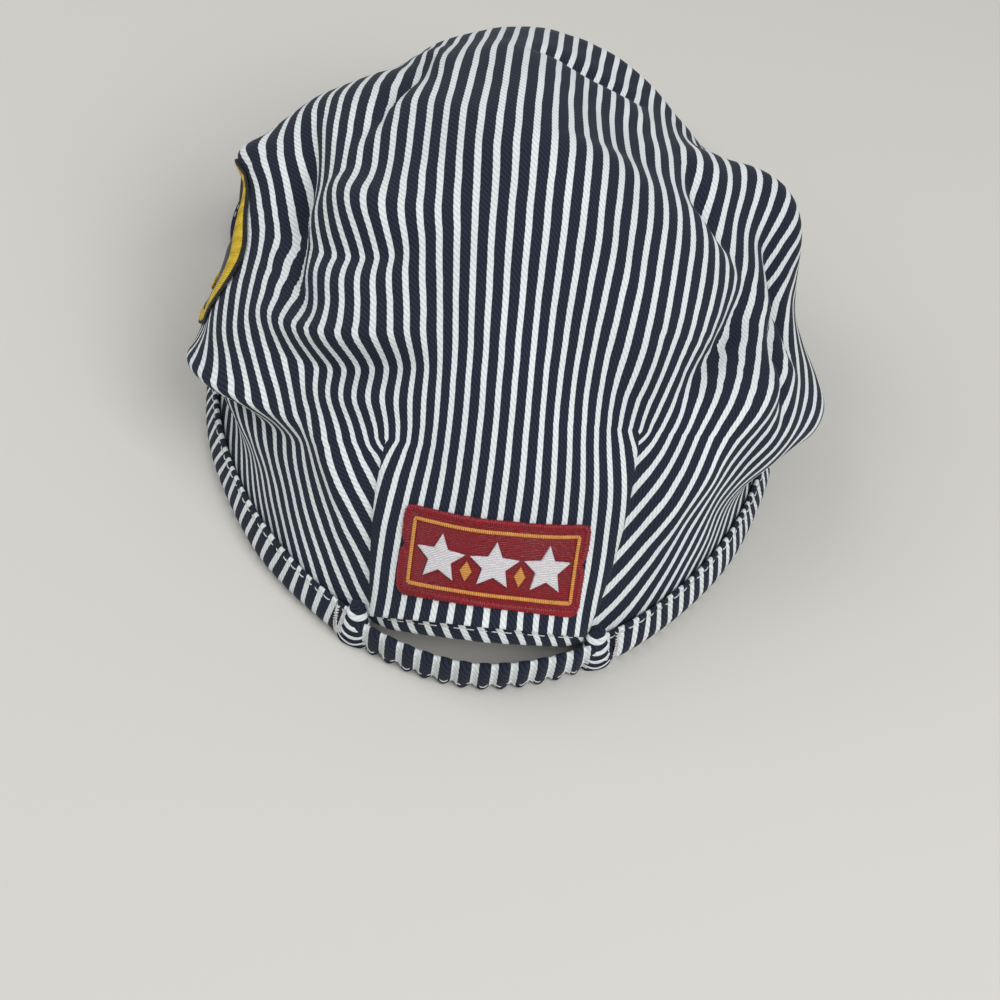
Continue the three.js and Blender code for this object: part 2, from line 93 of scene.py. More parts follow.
# Folds: angle and share of the profile at the start, the middle and the end,
# the rise in millimetres (minus sinks), the half width, and how far the cloth
# on one side of the line stands over the other.
FOLDS = (
    (112, 0.735, 84, 0.715, 53, 0.61, -6.5, 5.0, 2.5),
    (113, 0.64, 92, 0.62, 70, 0.50, 3.0, 9.0, 0.0),
    (114, 0.60, 108, 0.63, 103, 0.66, 6.0, 5.0, 0.0),
    (106, 0.56, 97, 0.56, 88, 0.55, -4.5, 6.0, 0.0),
    (88, 0.79, 70, 0.79, 44, 0.81, 3.5, 6.0, 0.0),
    (76, 0.72, 60, 0.725, 40, 0.735, -4.0, 5.0, 0.0),
    (60, 0.605, 45, 0.59, 26, 0.58, 4.5, 5.0, 2.5),
    (52, 0.535, 38, 0.52, 20, 0.51, -4.0, 4.5, 0.0),
    (40, 0.47, 30, 0.45, 20, 0.44, 2.0, 4.0, 0.0),
    (80, 0.34, 64, 0.42, 44, 0.41, 3.5, 4.0, 3.5),
    (74, 0.27, 58, 0.32, 40, 0.33, -4.5, 4.5, 0.0),
    (40, 0.42, 31, 0.33, 24, 0.20, 2.5, 5.0, 1.5),
    (-117, 0.76, -102, 0.765, -88, 0.73, -4.0, 5.0, -2.0),
    (-124, 0.66, -112, 0.62, -100, 0.56, 3.5, 8.0, 0.0),
    (-82, 0.70, -62, 0.64, -44, 0.52, -7.5, 5.0, 0.0),
    (-74, 0.56, -62, 0.54, -50, 0.44, 3.0, 5.0, 0.0),
    (-98, 0.66, -88, 0.60, -80, 0.56, -5.0, 4.0, 0.0),
    (-92, 0.62, -76, 0.60, -66, 0.48, -4.0, 4.0, -2.0),
    (-50, 0.40, -38, 0.30, -30, 0.18, 2.0, 6.0, 0.0),
    (-40, 0.62, -34, 0.56, -30, 0.50, 2.5, 6.0, 0.0),
    (-178, 0.80, -162, 0.78, -146, 0.72, -4.0, 3.5, 2.0),
    (-170, 0.70, -156, 0.66, -142, 0.62, 2.5, 6.0, 0.0),
    (104, 0.83, 125, 0.84, 150, 0.76, -3.5, 4.0, 1.5),
    (154, 0.70, 151, 0.79, 142, 0.87, 2.0, 4.5, 0.0),
)
FOLD_LINE_POINTS = 20
FOLD_STEP_REACH = 2.3
CREASE_POWER = 1.5
SWELL_POWER = 2.0
# Puckers of the loose cloth: height and size in millimetres, and seed.
PUCKERS = ((0.9, 17.0, 3.1), (0.35, 7.5, 9.4))
# Shares of the profile over which folds and puckers grow from the rim.
FOLD_FREE_SHARE = 0.08
PUCKER_FREE_SHARE = 0.12

# The pleats: angle at the rim, angle and share of the profile where each ends.
LEFT_PLEAT = (16.0, 22.0, 0.36)
RIGHT_PLEAT = (-16.0, -30.0, 0.44)
FRONT_PLEAT = 160.0
FRONT_PLEAT_SHARE = 0.4
# The step of a folded edge over the cloth beside it, the shares of it that
# lift and sink, and over how many grid columns each dies away.
PLEAT_STEP = 1.1
PLEAT_LIFT = 0.6
PLEAT_SINK = 0.7
PLEAT_LIFT_REACH = 1.2
PLEAT_SINK_REACH = 1.0
# Small tucks at the rim: grid column and share of the profile where each ends.
TUCKS = ((22, 0.30), (-26, 0.30))
TUCK_STEP = 0.8
TUCK_REACH = 0.8

# Grid of the crown: columns round and rows up for the cut of the cloth, and
# how many times finer the cloth itself is.
CUT_COLUMNS = 96
CUT_ROWS = 32
PANEL_HALF_COLUMNS = 4
FINER = 4
FINE_COLUMNS = CUT_COLUMNS * FINER
FINE_ROWS = CUT_ROWS * FINER
CLOSED_COLUMN = 0.06
STRIPE_PITCH = 4.3
UPWARD = np.array([0.0, 0.0, 1.0])


def wrapped(angle):
    return (angle + 180.0) % 360.0 - 180.0


def rim_radius(angle):
    a = np.radians(angle)
    power = RIM_POWER - RIM_POWER_SWING * np.cos(a)
    across = (np.abs(np.sin(a)) / RIM_HALF_WIDTH) ** power
    along = (np.abs(np.cos(a)) / RIM_HALF_LENGTH) ** power
    return (across + along) ** (-1.0 / power)


def rim_lift(angle):
    t = (np.abs(wrapped(angle)) - FRONT_LIFT_START) / (180.0 - FRONT_LIFT_START)
    t = np.clip(t, 0.0, 1.0)
    return FRONT_LIFT * t * t * (3.0 - 2.0 * t)


def arch_rise(angle):
    x = rim_radius(angle) * np.sin(np.radians(angle))
    behind = (np.cos(np.radians(angle)) > 0) & (np.abs(x) < ARCH_HALF_WIDTH)
    rise = ARCH_RISE * np.cos(np.pi / 2 * np.clip(x / ARCH_HALF_WIDTH, -1, 1))
    return np.where(behind, rise, 0.0)


def hermite(p, mp, q, mq, u):
    return (
        (2 * u**3 - 3 * u**2 + 1) * p
        + (u**3 - 2 * u**2 + u) * mp
        + (3 * u**2 - 2 * u**3) * q
        + (u**3 - u**2) * mq
    )


def station_value(column, angle):
    order = np.argsort(STATIONS[:, 0] % 360)
    a = (STATIONS[:, 0] % 360)[order]
    v = STATIONS[:, column][order]
    a = np.concatenate([a - 360, a, a + 360])
    v = np.tile(v, 3)
    turn = angle % 360
    i = np.searchsorted(a, turn, side="right") - 1
    h = a[i + 1] - a[i]
    m1 = (v[i + 1] - v[i - 1]) / (a[i + 1] - a[i - 1]) * h
    m2 = (v[i + 2] - v[i]) / (a[i + 2] - a[i]) * h
    return hermite(v[i], m1, v[i + 1], m2, (turn - a[i]) / h)


def smooth_crown(angle, share):
    """Points of the crown before its folds; share runs from rim to top."""
    angle, share = np.broadcast_arrays(np.asarray(angle, float), np.asarray(share, float))
    rim = rim_radius(angle)
    radii = [rim]
    heights = [CROWN_EDGE_Z + arch_rise(angle) + rim_lift(angle)]
    for column in range(1, 11, 2):
        radii.append(station_value(column, angle) * rim)
        heights.append(station_value(column + 1, angle) * CROWN_REFERENCE)
    radii.append(np.zeros_like(rim))
    heights.append(np.full_like(rim, CROWN_TOP))
    radii = np.stack(radii)
    heights = np.stack(heights)
    last = len(radii) - 1
    s = np.clip(share, 0, 1) * last
    i = np.minimum(s.astype(int), last - 1)
    found = []
    for knots, top in ((radii, -radii[last - 1]), (heights, np.zeros_like(rim))):
        slopes = np.zeros_like(knots)
        slopes[1:-1] = (knots[2:] - knots[:-2]) / 2
        slopes[0] = knots[1] - knots[0]
        slopes[-1] = top
        low = np.take_along_axis(knots, i[None], 0)[0]
        high = np.take_along_axis(knots, i[None] + 1, 0)[0]
        leave = np.take_along_axis(slopes, i[None], 0)[0]
        arrive = np.take_along_axis(slopes, i[None] + 1, 0)[0]
        found.append(hermite(low, leave, high, arrive, s - i))
    r, z = found
    a = np.radians(angle)
    return np.stack([r * np.sin(a), r * np.cos(a), z], -1)


def unit(vectors):
    return vectors / np.maximum(np.linalg.norm(vectors, axis=-1, keepdims=True), 1e-9)


def crown_normal(angle, share):
    """The way out of the smooth crown, turned straight up at the very top."""
    step_round = 0.25
    step_up = 0.004
    around = smooth_crown(angle + step_round, share) - smooth_crown(angle - step_round, share)
    above = smooth_crown(angle, np.clip(share + step_up, 0, 1))
    below = smooth_crown(angle, np.clip(share - step_up, 0, 1))
    n = unit(np.cross(above - below, around))
    top = np.clip((np.asarray(share) - 0.97) / 0.03, 0, 1)[..., None]
    return unit(n * (1 - top) + UPWARD * top)


def fold_rise(points, share, normals):
    """How far the folds lift the cloth at each point."""
    total = np.zeros(points.shape[:-1])
    t = np.linspace(0, 1, FOLD_LINE_POINTS)
    for a0, s0, a1, s1, a2, s2, rise, width, step_over in FOLDS:
        weights = ((1 - t) * (1 - 2 * t), 4 * t * (1 - t), t * (2 * t - 1))
        angles = weights[0] * a0 + weights[1] * a1 + weights[2] * a2
        shares = weights[0] * s0 + weights[1] * s1 + weights[2] * s2
        line = smooth_crown(angles, shares)
        nearest = np.full(points.shape[:-1], 1e9)
        along = np.zeros(points.shape[:-1])
        side = np.zeros(points.shape[:-1])
        for k in range(len(line) - 1):
            run = line[k + 1] - line[k]
            f = np.clip((points - line[k]) @ run / (run @ run), 0, 1)
            away = points - line[k] - f[..., None] * run
            d = np.linalg.norm(away, axis=-1)
            across = np.sum(np.cross(run, normals) * away, -1) / np.linalg.norm(run)
            closer = d < nearest
            nearest = np.where(closer, d, nearest)
            along = np.where(closer, (k + f) / (len(line) - 1), along)
            side = np.where(closer, across, side)
        # A fold keeps about a third of its rise at either end.
        ends = np.sin(np.pi * (0.12 + 0.76 * along))
        sharpness = CREASE_POWER if rise < 0 else SWELL_POWER
        total += rise * ends * np.exp(-((nearest / width) ** sharpness))
        total += step_over * ends * np.tanh(side / FOLD_STEP_REACH) * np.exp(-nearest / width)
    return total * np.clip(share / FOLD_FREE_SHARE, 0, 1)


def puckers(points, size, seed):
    """Soft uneven swelling of loose cloth, longer up the crown than round it."""
    flat = points.reshape(-1, 3)
    out = np.empty(len(flat))
    for k, (x, y, z) in enumerate(flat):
        out[k] = noise.noise(Vector((x / size, y / size * 0.75, z / size * 0.55 + seed)))
    return out.reshape(points.shape[:-1])


def cap_frame(points):
    """Millimetres from the rim's middle to metres in the CAD frame."""
    return (np.asarray(points, float) + RIM_MIDDLE) / 1000.0


def new_mesh(name, points, faces, corner_uvs=None):
    mesh = bpy.data.meshes.new(name)
    mesh.from_pydata(cap_frame(points).tolist(), [], faces)
    if corner_uvs is not None:
        layer = mesh.uv_layers.new(name="cloth_mm")
        layer.data.foreach_set("uv", np.asarray(corner_uvs, float).ravel())
    mesh.polygons.foreach_set("use_smooth", [True] * len(mesh.polygons))
    mesh.update()
    piece = bpy.data.objects.new(name, mesh)
    bpy.context.scene.collection.objects.link(piece)
    return piece


def column_angles(columns, share):
    """Grid columns to angles, so that a column runs down each pleat line."""
    columns, share = np.broadcast_arrays(columns, share)
    side = np.where(columns > CUT_COLUMNS / 2, columns - CUT_COLUMNS, columns)
    half = CUT_COLUMNS / 2
    out = np.zeros(columns.shape)
    for sign, (foot, head, end) in ((1, LEFT_PLEAT), (-1, RIGHT_PLEAT)):
        line = sign * (foot + (head - foot) * np.clip(share / end, 0, 1))
        k = sign * side
        inside = k / PANEL_HALF_COLUMNS * line
        outside = line + (k - PANEL_HALF_COLUMNS) / (half - PANEL_HALF_COLUMNS) * (180 - line)
        value = sign * np.where(k <= PANEL_HALF_COLUMNS, inside, outside)
        out = np.where((k >= 0) if sign > 0 else (k > 0), value, out)
    return out


def pleat_step(columns, share):
    """Lifts the panel's folded edges over the cloth beside them."""
    side = np.where(columns > CUT_COLUMNS / 2, columns - CUT_COLUMNS, columns)
    total = np.zeros(np.broadcast(columns, share).shape)
    for sign, (foot, head, end) in ((1, LEFT_PLEAT), (-1, RIGHT_PLEAT)):
        inward = PANEL_HALF_COLUMNS - sign * side
        beside = (inward < 0) & (sign * side > 0)
        fade = np.clip(1 - (share / end) ** 2, 0, 1)
        lifted = np.where(inward >= 0, np.exp(-inward / PLEAT_LIFT_REACH), 0.0) * PLEAT_STEP * PLEAT_LIFT
        sunk = np.where(beside, np.exp(inward / PLEAT_SINK_REACH), 0.0) * PLEAT_STEP * PLEAT_SINK
        total += fade * (lifted - sunk)
    for column, end in TUCKS:
        sign = math.copysign(1, column)
        outward = sign * (side - column)
        fade = np.clip(1 - (share / end) ** 2, 0, 1)
        lifted = np.where(outward <= 0, np.exp(outward / TUCK_REACH), 0.0)
        sunk = np.where(outward > 0, np.exp(-outward / TUCK_REACH), 0.0)
        total += fade * TUCK_STEP / 2 * (lifted - sunk)
    return total


def crown_surface(angle, share, extra=0.0):
    points = smooth_crown(angle, share)
    normals = crown_normal(angle, share)
    rise = fold_rise(points, share, normals)
    free = np.clip(np.asarray(share) / PUCKER_FREE_SHARE, 0, 1)
    rise = rise + free * sum(height * puckers(points, size, seed) for height, size, seed in PUCKERS)
    return points + normals * (rise + extra)[..., None]


def crown_grid():
    """Columns, shares and points of the fine grid."""
    columns = np.arange(FINE_COLUMNS + 1) / FINER
    # The column outside each pleat and tuck closes up to a narrow edge.
    for line in (PANEL_HALF_COLUMNS, -PANEL_HALF_COLUMNS, *[column for column, end in TUCKS]):
        outer = math.copysign(1, line)
        beside = (line + outer / FINER) % CUT_COLUMNS
        closed = (line + outer * CLOSED_COLUMN) % CUT_COLUMNS
        columns = np.where(np.isclose(columns, beside), closed, columns)
    shares = np.linspace(0, 1, FINE_ROWS + 1)
    u, share = np.meshgrid(columns, shares)
    angle = column_angles(u % CUT_COLUMNS, share)
    return u, share, crown_surface(angle, share, pleat_step(u % CUT_COLUMNS, share))


def crown_faces(columns, rows):
    faces = []
    for j in range(rows - 1):
        for i in range(columns):
            k = (i + 1) % columns
            faces.append((j * columns + k, j * columns + i, (j + 1) * columns + i, (j + 1) * columns + k))
    top = rows * columns
    for i in range(columns):
        faces.append(((rows - 1) * columns + (i + 1) % columns, (rows - 1) * columns + i, top))
    return faces


# The cut of the cloth: the crown on the coarse grid, slit along its pleats and
# tucks and laid flat, so that the stripes run as they do in a sewn crown.
grid_u, grid_share, grid_points = crown_grid()
cut_points = grid_points[::FINER, ::FINER]
cut_vertices = np.concatenate([cut_points[:-1, :-1].reshape(-1, 3), cut_points[-1:, 0]])
cut = new_mesh("cut_of_the_cloth", cut_vertices, crown_faces(CUT_COLUMNS, CUT_ROWS))
front_column = PANEL_HALF_COLUMNS + round(
    (FRONT_PLEAT - LEFT_PLEAT[0]) / (180 - LEFT_PLEAT[0]) * (CUT_COLUMNS / 2 - PANEL_HALF_COLUMNS)
)
cuts = {
    PANEL_HALF_COLUMNS: LEFT_PLEAT[2],
    CUT_COLUMNS - PANEL_HALF_COLUMNS: RIGHT_PLEAT[2],
    front_column: FRONT_PLEAT_SHARE,
    CUT_COLUMNS - front_column: FRONT_PLEAT_SHARE,
    **{column % CUT_COLUMNS: end for column, end in TUCKS},
}
cut_edges = {
    (j * CUT_COLUMNS + column, (j + 1) * CUT_COLUMNS + column)
    for column, share in cuts.items()
    for j in range(round(share * CUT_ROWS))
}
for edge in cut.data.edges:
    edge.use_seam = tuple(sorted(edge.vertices)) in cut_edges
cut.data.uv_layers.new(name="cloth_mm")
bpy.context.view_layer.objects.active = cut
cut.select_set(True)
bpy.ops.object.mode_set(mode="EDIT")
bpy.ops.mesh.select_all(action="SELECT")
bpy.ops.uv.unwrap(method="MINIMUM_STRETCH", margin=0.0, iterations=20)
bpy.ops.object.mode_set(mode="OBJECT")

flat = np.zeros(len(cut.data.loops) * 2)
cut.data.uv_layers["cloth_mm"].data.foreach_get("uv", flat)
flat = flat.reshape(-1, 2)
patches = np.zeros((CUT_ROWS, CUT_COLUMNS, 2, 2, 2))
for number, face in enumerate(cut.data.polygons):
    j, i = divmod(number, CUT_COLUMNS)
    loops = list(face.loop_indices)
    patches[j, i, 0, 1] = flat[loops[0]]
    patches[j, i, 0, 0] = flat[loops[1]]
    patches[j, i, 1, 0] = flat[loops[2]]
    patches[j, i, 1, 1] = flat[loops[-1]]
# Real millimetres, with the middle line of the back panel upright.
low_row, high_row = CUT_ROWS // 5, CUT_ROWS * 4 // 5
real = sum(
    np.linalg.norm(cut_points[j + 1, 0] - cut_points[j, 0]) for j in range(low_row, high_row)
)
drawn = sum(
    np.linalg.norm(patches[j, 0, 1, 0] - patches[j, 0, 0, 0]) for j in range(low_row, high_row)
)
spine = patches[high_row, 0, 0, 0] - patches[low_row, 0, 0, 0]
lean = math.atan2(spine[0], spine[1])
turn = np.array([[math.cos(lean), -math.sin(lean)], [math.sin(lean), math.cos(lean)]])
patches = ((patches - patches[low_row, 0, 0, 0]) @ turn.T) * (real / drawn)
bpy.data.meshes.remove(cut.data)

# The pleats draw in the cloth beside them, which turns its stripes. Columns:
# side of the panel, end of the pleat, slant beside it, slant farther out.
DRAWN_IN = (
    (1, LEFT_PLEAT[2], 0.16, -0.12),
    (-1, RIGHT_PLEAT[2], -0.26, 0.0),
)
DRAWN_NEAR_COLUMNS = 11
DRAWN_FAR_COLUMNS = 14
PROFILE_LENGTH = 150.0


def eased(t):
    """From 1 where t is 0 to 0 where it is 1, level at both ends."""
    return 0.5 + 0.5 * np.cos(np.pi * np.clip(t, 0, 1))


corner_share = (np.arange(CUT_ROWS)[:, None] + np.arange(2)) / CUT_ROWS
corner_column = np.arange(CUT_COLUMNS)[:, None] + np.arange(2)
half = CUT_COLUMNS // 2
for side, end, beside, farther in DRAWN_IN:
    below = np.maximum(end - corner_share, 0) * PROFILE_LENGTH
    beyond = (corner_column if side > 0 else CUT_COLUMNS - corner_column) - PANEL_HALF_COLUMNS
    near = eased(beyond / DRAWN_NEAR_COLUMNS)
    far = (1 - near) * eased((beyond - DRAWN_NEAR_COLUMNS) / DRAWN_FAR_COLUMNS)
    slant = beside * near + farther * far
    faces = slice(PANEL_HALF_COLUMNS, half) if side > 0 else slice(half, CUT_COLUMNS - PANEL_HALF_COLUMNS)
    patches[:, faces, :, :, 0] += below[:, None, :, None] * slant[None, faces, None, :]

# The fine grid takes its place in the cut from the coarse patch it lies in.
crown_vertices = np.concatenate([grid_points[:-1, :-1].reshape(-1, 3), grid_points[-1:, 0]])
crown_polygons = crown_faces(FINE_COLUMNS, FINE_ROWS)
crown_uvs = []
for number, face in enumerate(crown_polygons):
    j, i = divmod(number, FINE_COLUMNS)
    patch = patches[j // FINER, i // FINER]
    left = (grid_u[0, i] - i // FINER, grid_u[0, i + 1] - i // FINER)
    low = (grid_share[j, 0] * CUT_ROWS - j // FINER, grid_share[j + 1, 0] * CUT_ROWS - j // FINER)
    corners = [(left[1], low[0]), (left[0], low[0]), (left[0], low[1]), (left[1], low[1])]
    if len(face) == 3:
        corners = [corners[0], corners[1], (0.5, 1.0)]
    for a, b in corners:
        bottom = (1 - a) * patch[0, 0] + a * patch[0, 1]
        top = (1 - a) * patch[1, 0] + a * patch[1, 1]
        crown_uvs.append((1 - b) * bottom + b * top)
crown = new_mesh("crown_cloth", crown_vertices, crown_polygons, crown_uvs)
wall = crown.modifiers.new("cloth thickness", "SOLIDIFY")
wall.thickness = CLOTH / 1000
wall.offset = -1.0


def linear(hex_colour):
    """An sRGB hex colour as linear red, green, blue and alpha."""
    parts = [int(hex_colour[i:i + 2], 16) / 255 for i in (1, 3, 5)]
    return (*[c / 12.92 if c <= 0.04045 else ((c + 0.055) / 1.055) ** 2.4 for c in parts], 1.0)


def add(tree, kind, settings=None, links=None, **choices):
    """Adds a shader node with its choices, its socket values and its links."""
    node = tree.nodes.new(kind)
    for name, value in choices.items():
        setattr(node, name, value)
    for socket, value in (settings or {}).items():
        node.inputs[socket].default_value = value
    for socket, source in (links or {}).items():
        tree.links.new(source, node.inputs[socket])
    return node


def start_material(name, surface):
    """A new material whose surface shader has the plain values given."""
    material = bpy.data.materials.new(name)
    material.use_nodes = True
    shader = material.node_tree.nodes["Principled BSDF"]
    for socket, value in surface.items():
        shader.inputs[socket].default_value = value
    return material, material.node_tree, shader


# Cotton twill, woven with dyed navy and bleached white warps and brushed by
# wear: matt, with the twill's slanting wales showing as fine pale and dark
# lines, the dark ones painted shade in the grooves, and stripe edges that step
# from wale to wale. The real wales are about 0.5 mm apart. They are drawn twice
# as coarse, which is as fine as they show.
# The two darker colours are copies of navy and white for the grooves between the wales: painted shade.
NAVY_GROOVE_PAINTED_SHADE = "#131822"
NAVY_WALE = "#272e40"
WHITE_WALE = "#e6ebec"
WHITE_GROOVE_PAINTED_SHADE = "#b9c0c2"
WHITE_SHARE = 0.37
STRIPE_EDGE = 0.012
WALE_PITCH = 1.0
WALE_LEAN = math.radians(38)


def twill_material(name, phase=0.0):
    material, tree, cloth = start_material(name, {
        "Roughness": 0.92,
        "Specular IOR Level": 0.25,
        "Sheen Weight": 0.05,
        "Sheen Roughness": 0.5,
    })
    where = add(tree, "ShaderNodeUVMap", uv_map="cloth_mm")
    axes = add(tree, "ShaderNodeSeparateXYZ", links={0: where.outputs[0]})
    across, along = axes.outputs[0], axes.outputs[1]
    # Slow wander of the warps, about a tenth of a millimetre to either side.
    wander = add(tree, "ShaderNodeTexNoise", {"Scale": 0.09, "Detail": 2.0}, {"Vector": where.outputs[0]})
    sway = add(
        tree, "ShaderNodeMath", {1: 0.5, 2: phase * STRIPE_PITCH}, {0: wander.outputs["Fac"]},
        operation="MULTIPLY_ADD",
    )
    placed = add(tree, "ShaderNodeMath", links={0: across, 1: sway.outputs[0]}, operation="ADD")
    # Wales: lines leaning across the warps, a ridge and a valley to each pitch.
    lean_u = add(
        tree, "ShaderNodeMath", {1: 2 * math.cos(WALE_LEAN) / WALE_PITCH}, {0: across}, operation="MULTIPLY"
    )
    lean_v = add(
        tree, "ShaderNodeMath", {1: 2 * math.sin(WALE_LEAN) / WALE_PITCH}, {0: along}, operation="MULTIPLY"
    )
    wale = add(tree, "ShaderNodeMath", links={0: lean_u.outputs[0], 1: lean_v.outputs[0]}, operation="ADD")
    yarn = add(tree, "ShaderNodeTexNoise", {"Scale": 1.1, "Detail": 3.0}, {"Vector": where.outputs[0]})
    uneven = add(
        tree, "ShaderNodeMath", {1: 0.5}, {0: yarn.outputs["Fac"], 2: wale.outputs[0]},
        operation="MULTIPLY_ADD",
    )
    ridge = add(tree, "ShaderNodeMath", {1: 1.0}, {0: uneven.outputs[0]}, operation="PINGPONG")
    # Stripe edges step with the wales.
    tooth = add(
        tree, "ShaderNodeMath", {1: 0.08}, {0: ridge.outputs[0], 2: placed.outputs[0]},
        operation="MULTIPLY_ADD",
    )
    count = add(tree, "ShaderNodeMath", {1: STRIPE_PITCH}, {0: tooth.outputs[0]}, operation="DIVIDE")
    part = add(tree, "ShaderNodeMath", links={0: count.outputs[0]}, operation="FRACT")
    fold = add(tree, "ShaderNodeMath", {1: 0.5}, {0: part.outputs[0]}, operation="SUBTRACT")
    off_middle = add(tree, "ShaderNodeMath", links={0: fold.outputs[0]}, operation="ABSOLUTE")
    white = add(
        tree,
        "ShaderNodeMapRange",
        {1: WHITE_SHARE / 2 + STRIPE_EDGE, 2: WHITE_SHARE / 2 - STRIPE_EDGE, 3: 0.0, 4: 1.0},
        {0: off_middle.outputs[0]},
    )
    # Navy and white each run from the wale colour on the ridges to the darker copy in the grooves: painted
    # shade.
    navy = add(
        tree, "ShaderNodeMix", {"A": linear(NAVY_GROOVE_PAINTED_SHADE), "B": linear(NAVY_WALE)},
        {"Factor": ridge.outputs[0]}, data_type="RGBA",
    )
    soft_ridge = add(tree, "ShaderNodeMath", {1: 0.45}, {0: ridge.outputs[0]}, operation="POWER")
    pale = add(
        tree, "ShaderNodeMix", {"A": linear(WHITE_GROOVE_PAINTED_SHADE), "B": linear(WHITE_WALE)},
        {"Factor": soft_ridge.outputs[0]}, data_type="RGBA",
    )
    stripes = add(
        tree,
        "ShaderNodeMix",
        links={"Factor": white.outputs[0], "A": navy.outputs["Result"], "B": pale.outputs["Result"]},
        data_type="RGBA",
    )
    # Faint uneven fading, a few centimetres across.
    fade = add(tree, "ShaderNodeTexNoise", {"Scale": 0.03, "Detail": 3.0}, {"Vector": where.outputs[0]})
    level = add(tree, "ShaderNodeMapRange", {1: 0.3, 2: 0.7, 3: 0.9, 4: 1.08}, {0: fade.outputs["Fac"]})
    tinted = add(
        tree,
        "ShaderNodeHueSaturation",
        links={"Value": level.outputs[0], "Color": stripes.outputs["Result"]},
    )
    tree.links.new(tinted.outputs[0], cloth.inputs["Base Color"])
    bump = add(tree, "ShaderNodeBump", {"Strength": 0.4, "Distance": 0.0001}, {"Height": ridge.outputs[0]})
    tree.links.new(bump.outputs[0], cloth.inputs["Normal"])
    return material


crown.data.materials.append(twill_material("navy and white striped cotton twill"))
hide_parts("crown_back", "crown_left", "crown_right")
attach(crown, "root")

# Band
# The hem of the same twill, cut so that its stripes stand upright, folded in
# two round the rim and topstitched in cream thread just under its upper edge.
BAND_STEP = 0.65
BAND_FACE = 2.5
BAND_STITCH_HEIGHT = 10.0
STITCH_LENGTH = 2.5
STITCH_GAP = 0.7
THREAD = 0.34
STITCH_SIDES = 6
# Height of a stitch over the cloth from hole to hole, in thread widths.
STITCH_ARC = np.array([-0.9, 0.25, 0.5, 0.5, 0.25, -0.9])


def rim_point(angle, offset, height):
    angle, offset, height = np.broadcast_arrays(angle, offset, height)
    r = rim_radius(angle) + offset
    a = np.radians(angle)
    return np.stack([r * np.sin(a), r * np.cos(a), height + rim_lift(angle)], -1)


def rim_outward(angle):
    """One millimetre straight out from the rim."""
    return rim_point(angle, 3.0, 0.0) - rim_point(angle, 2.0, 0.0)


def back_angle(half_width, offset):
    """The angle at which the rim is half_width to the side of its back middle."""
    angle = 0.0
    for _ in range(30):
        angle = math.degrees(math.asin(half_width / (float(rim_radius(angle)) + offset)))
    return angle


def lofted(name, sections, uvs):
    """A closed skin through rings of points; uvs has one more column than a ring."""
    count, around = sections.shape[:2]
    faces = []
    corners = []
    for s in range(count - 1):
        for k in range(around):
            n = (k + 1) % around
            faces.append((s * around + k, (s + 1) * around + k, (s + 1) * around + n, s * around + n))
            corners.append([uvs[s, k], uvs[s + 1, k], uvs[s + 1, k + 1], uvs[s, k + 1]])
    for s, order in ((0, range(around)), (count - 1, range(around - 1, -1, -1))):
        faces.append(tuple(s * around + k for k in order))
        corners.append([uvs[s, k] for k in order])
    flat = sections.reshape(-1, 3)
    volume = sum(flat[f[0]] @ np.cross(flat[f[1]], flat[f[2]]) for f in faces)
    if volume < 0:
        faces = [f[::-1] for f in faces]
        corners = [c[::-1] for c in corners]
    return new_mesh(name, flat, faces, [uv for face in corners for uv in face])


def arc_lengths(points):
    return np.concatenate([[0.0], np.cumsum(np.linalg.norm(np.diff(points, axis=0), axis=1))])


def at_lengths(where, reach, points):
    """Points at the lengths asked for, along a line whose points lie at reach."""
    return np.stack([np.interp(where, reach, axis) for axis in points.T], -1)


def ring_uvs(sections, along):
    """Millimetres along the piece, and round its section."""
    around = arc_lengths(np.concatenate([sections[0], sections[0, :1]]))
    return np.stack(np.broadcast_arrays(along[:, None], around[None, :]), -1)


def wavering(lengths, size, seed):
    """A slow uneven swing along a piece, between about -0.5 and 0.5."""
    return np.array([noise.noise(Vector((s / size, *seed))) for s in lengths])


def tube_faces(rings, around, first=0):
    """Quads between closed rings of points."""
    return [
        (low + k, low + (k + 1) % around, low + around + (k + 1) % around, low + around + k)
        for low in range(first, first + (rings - 1) * around, around)
        for k in range(around)
    ]


def stitches(name, line, outward, length=STITCH_LENGTH, gap=STITCH_GAP, thread=THREAD):
    """Separate stitches along a line: short rods whose ends dip into the cloth."""
    reach = arc_lengths(line)
    count = int((reach[-1] + gap) / (length + gap))
    rings = len(STITCH_ARC)
    points = []
    faces = []
    for start in np.arange(count) * (length + gap):
        where = start + np.linspace(0, length, rings)
        middle = at_lengths(where, reach, line)
        out = unit(at_lengths(where, reach, outward))
        side = unit(np.cross(unit(np.gradient(middle, axis=0)), out))
        first = len(points)
        for m, o, s, rise in zip(middle, out, side, STITCH_ARC * thread):
            for turn in np.arange(STITCH_SIDES) * math.pi / 3:
                up = rise + math.sin(turn) * thread / 2
                points.append(m + o * up + s * math.cos(turn) * thread / 2)
        faces += tube_faces(rings, STITCH_SIDES, first)
        faces.append(tuple(first + k for k in range(STITCH_SIDES - 1, -1, -1)))
        faces.append(tuple(first + (rings - 1) * STITCH_SIDES + k for k in range(STITCH_SIDES)))
    return new_mesh(name, np.array(points), faces, np.zeros((sum(len(f) for f in faces), 2)))


def joined(name, pieces):
    """Makes one piece of several, each keeping its materials."""
    bpy.ops.object.select_all(action="DESELECT")
    for piece in pieces:
        piece.select_set(True)
    bpy.context.view_layer.objects.active = pieces[0]
    bpy.ops.object.join()
    pieces[0].name = name
    return pieces[0]


